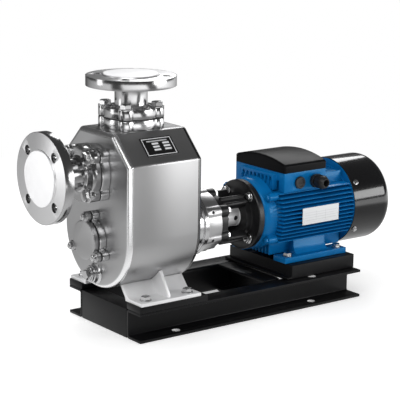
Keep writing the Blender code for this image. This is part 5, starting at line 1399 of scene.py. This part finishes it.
class PUMP_OT_studio(bpy.types.Operator):
    """Adds the pale floor, the soft lights and the camera"""

    bl_idname = "pump.studio"
    bl_label = "Studio"

    def execute(self, context):
        self.floor()
        self.world(context)
        self.lights()
        self.camera(context)
        context.scene.view_settings.view_transform = "Standard"
        return {"FINISHED"}

    def floor(self):
        """A pale floor that mirrors bright in front of the pump and dark behind it."""
        deselect()
        bpy.ops.mesh.primitive_plane_add(size=24, location=(0, 0, -0.0005))
        floor = bpy.context.object
        floor.name = "floor"
        settle(floor)
        f = Finish("studio_floor", (0.84, 0.84, 0.84), 0.7)
        camera, glass, glossy = rays(f.tree)
        f.set("Emission Color", (1, 1, 1, 1))
        f.set("Emission Strength", camera * 0.42 + glass * 0.42 + glossy * 0.12)
        x, y, _ = f.axes()
        reach = f.radius("Z", (0.0, 0.0))
        toward = (x * 0.45 - y * 0.893) / reach
        left = (x / reach * -0.95).clamp(0, 1)
        shaded = 0.12 + (toward * 0.5 + 0.5).clamp(0, 1) ** 2.0 * 2.4 + left
        for a, b in ((0.25, -0.968), (-0.95, -0.31)):
            band = (((x * a + y * b) / reach - 0.965) * 50).clamp(0, 1)
            shaded = shaded * (1 - band * 0.92)
        away = 1 - reach.within(1.25, 0.6)
        beyond = 1 - reach.within(1.20, 0.35)
        mirrored = beyond * shaded + (1 - beyond) * (0.28 + left * 0.35 + reach.within(0.48, 0.3) * 0.45)
        shine = 1 - glossy + glossy * mirrored
        far = f.node("Emission", {}, {"Color": (1, 1, 1, 1), "Strength": shine})
        near = Wire(f.tree, f.shader.outputs[0])
        mixed = f.node("MixShader", {}, {0: away + (1 - away) * glossy * 0.8, 1: near, 2: far})
        feed(f.tree, f.tree.nodes["Material Output"].inputs["Surface"], mixed)
        floor.data.materials.append(f.material)

    def world(self, context):
        world = bpy.data.worlds.new("studio")
        context.scene.world = world
        world.use_nodes = True
        back = world.node_tree.nodes["Background"]
        camera, glass, glossy = rays(world.node_tree)
        back.inputs["Color"].default_value = (1, 1, 1, 1)
        level = ((camera + glass) * 0.70 - glossy * 0.22 + 0.30).clamp(0, 1)
        feed(world.node_tree, back.inputs["Strength"], level)

    def lights(self):
        for name, spot, target, width, height, power, mirrored in (
            ("key", (-1.7, -1.3, 1.9), (-0.1, 0, 0.2), 2.0, 1.4, 30, True),
            ("right_front", (1.45, -1.75, 0.58), (-0.1, 0, 0.25), 1.6, 0.55, 18, True),
            ("back_soft", (1.6, 1.55, 1.75), (0.1, 0, 0.2), 1.2, 1.0, 18, True),
            ("left_strip", (-2.1, 1.0, 0.8), (-0.2, 0, 0.3), 0.6, 1.5, 8, True),
            ("front_low", (-2.2, -2.4, 0.45), (-0.1, 0, 0.2), 1.2, 0.8, 5, False),
            ("top", (-0.3, 0.6, 2.3), (0, 0, 0.2), 1.6, 1.1, 16, False),
        ):
            deselect()
            bpy.ops.object.light_add(type="AREA", location=spot)
            lamp = bpy.context.object
            lamp.name = name
            lamp.visible_camera = False
            lamp.visible_glossy = mirrored
            lamp.data.shape = "RECTANGLE"
            lamp.data.size = width
            lamp.data.size_y = height
            lamp.data.energy = power
            aim = Vector(target) - Vector(spot)
            lamp.rotation_euler = aim.to_track_quat("-Z", "Y").to_euler()

    def camera(self, context):
        """The camera that was fitted to the photograph."""
        deselect()
        azimuth, tilt, roll = radians(36.90043), radians(12.9972), radians(0.66163)
        ahead = Vector((sin(azimuth) * cos(tilt), cos(azimuth) * cos(tilt), -sin(tilt)))
        right = Vector((cos(azimuth), -sin(azimuth), 0))
        up = right.cross(ahead)
        across = right * cos(roll) + up * sin(roll)
        upward = up * cos(roll) - right * sin(roll)
        spot = Vector((-1.55653 + DISCHARGE_X, -2.28373, 0.87250))
        bpy.ops.object.camera_add(location=spot)
        camera = bpy.context.object
        camera.name = "photo_camera"
        turn = Matrix((across, upward, -ahead)).transposed().to_4x4()
        camera.matrix_world = Matrix.Translation(spot) @ turn
        focal, picture, sensor = 1546.899, 400, 36
        camera.data.sensor_width = sensor
        camera.data.lens = sensor * focal / picture
        camera.data.clip_start = 0.05
        camera.data.clip_end = 50
        context.scene.camera = camera


def rays(tree):
    """Wires that are 1 for camera rays, for rays through glass and for mirror rays."""
    node = tree.nodes.new("ShaderNodeLightPath")
    return [Wire(tree, node.outputs[f"Is {kind} Ray"]) for kind in ("Camera", "Transmission", "Glossy")]


class PUMP_PT_panel(bpy.types.Panel):
    """Lists the pieces, their sizes and their colours"""

    bl_idname = "PUMP_PT_panel"
    bl_label = "Pump set"
    bl_space_type = "VIEW_3D"
    bl_region_type = "UI"
    bl_category = "Pump"

    def draw(self, context):
        layout = self.layout
        for operator in OPERATORS:
            layout.operator(operator.bl_idname)
        for group in (context.scene.pump_sizes, context.scene.pump_colours):
            column = layout.column()
            for name in group.__annotations__:
                column.prop(group, name)


OPERATORS = (
    PUMP_OT_casing,
    PUMP_OT_nozzles,
    PUMP_OT_cleanout,
    PUMP_OT_feet,
    PUMP_OT_base,
    PUMP_OT_drive,
    PUMP_OT_motor,
    PUMP_OT_terminal_box,
    PUMP_OT_fan_cover,
    PUMP_OT_plates,
    PUMP_OT_inside,
    PUMP_OT_studio,
)
CLASSES = (PumpSizes, PumpColours, *OPERATORS, PUMP_PT_panel)


def register():
    for item in CLASSES:
        bpy.utils.register_class(item)
    bpy.types.Scene.pump_sizes = bpy.props.PointerProperty(type=PumpSizes)
    bpy.types.Scene.pump_colours = bpy.props.PointerProperty(type=PumpColours)


def unregister():
    del bpy.types.Scene.pump_colours
    del bpy.types.Scene.pump_sizes
    for item in reversed(CLASSES):
        bpy.utils.unregister_class(item)


def main():
    register()
    for operator in OPERATORS:
        group, name = operator.bl_idname.split(".")
        getattr(getattr(bpy.ops, group), name)()
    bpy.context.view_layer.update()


if __name__ == "__main__":
    main()
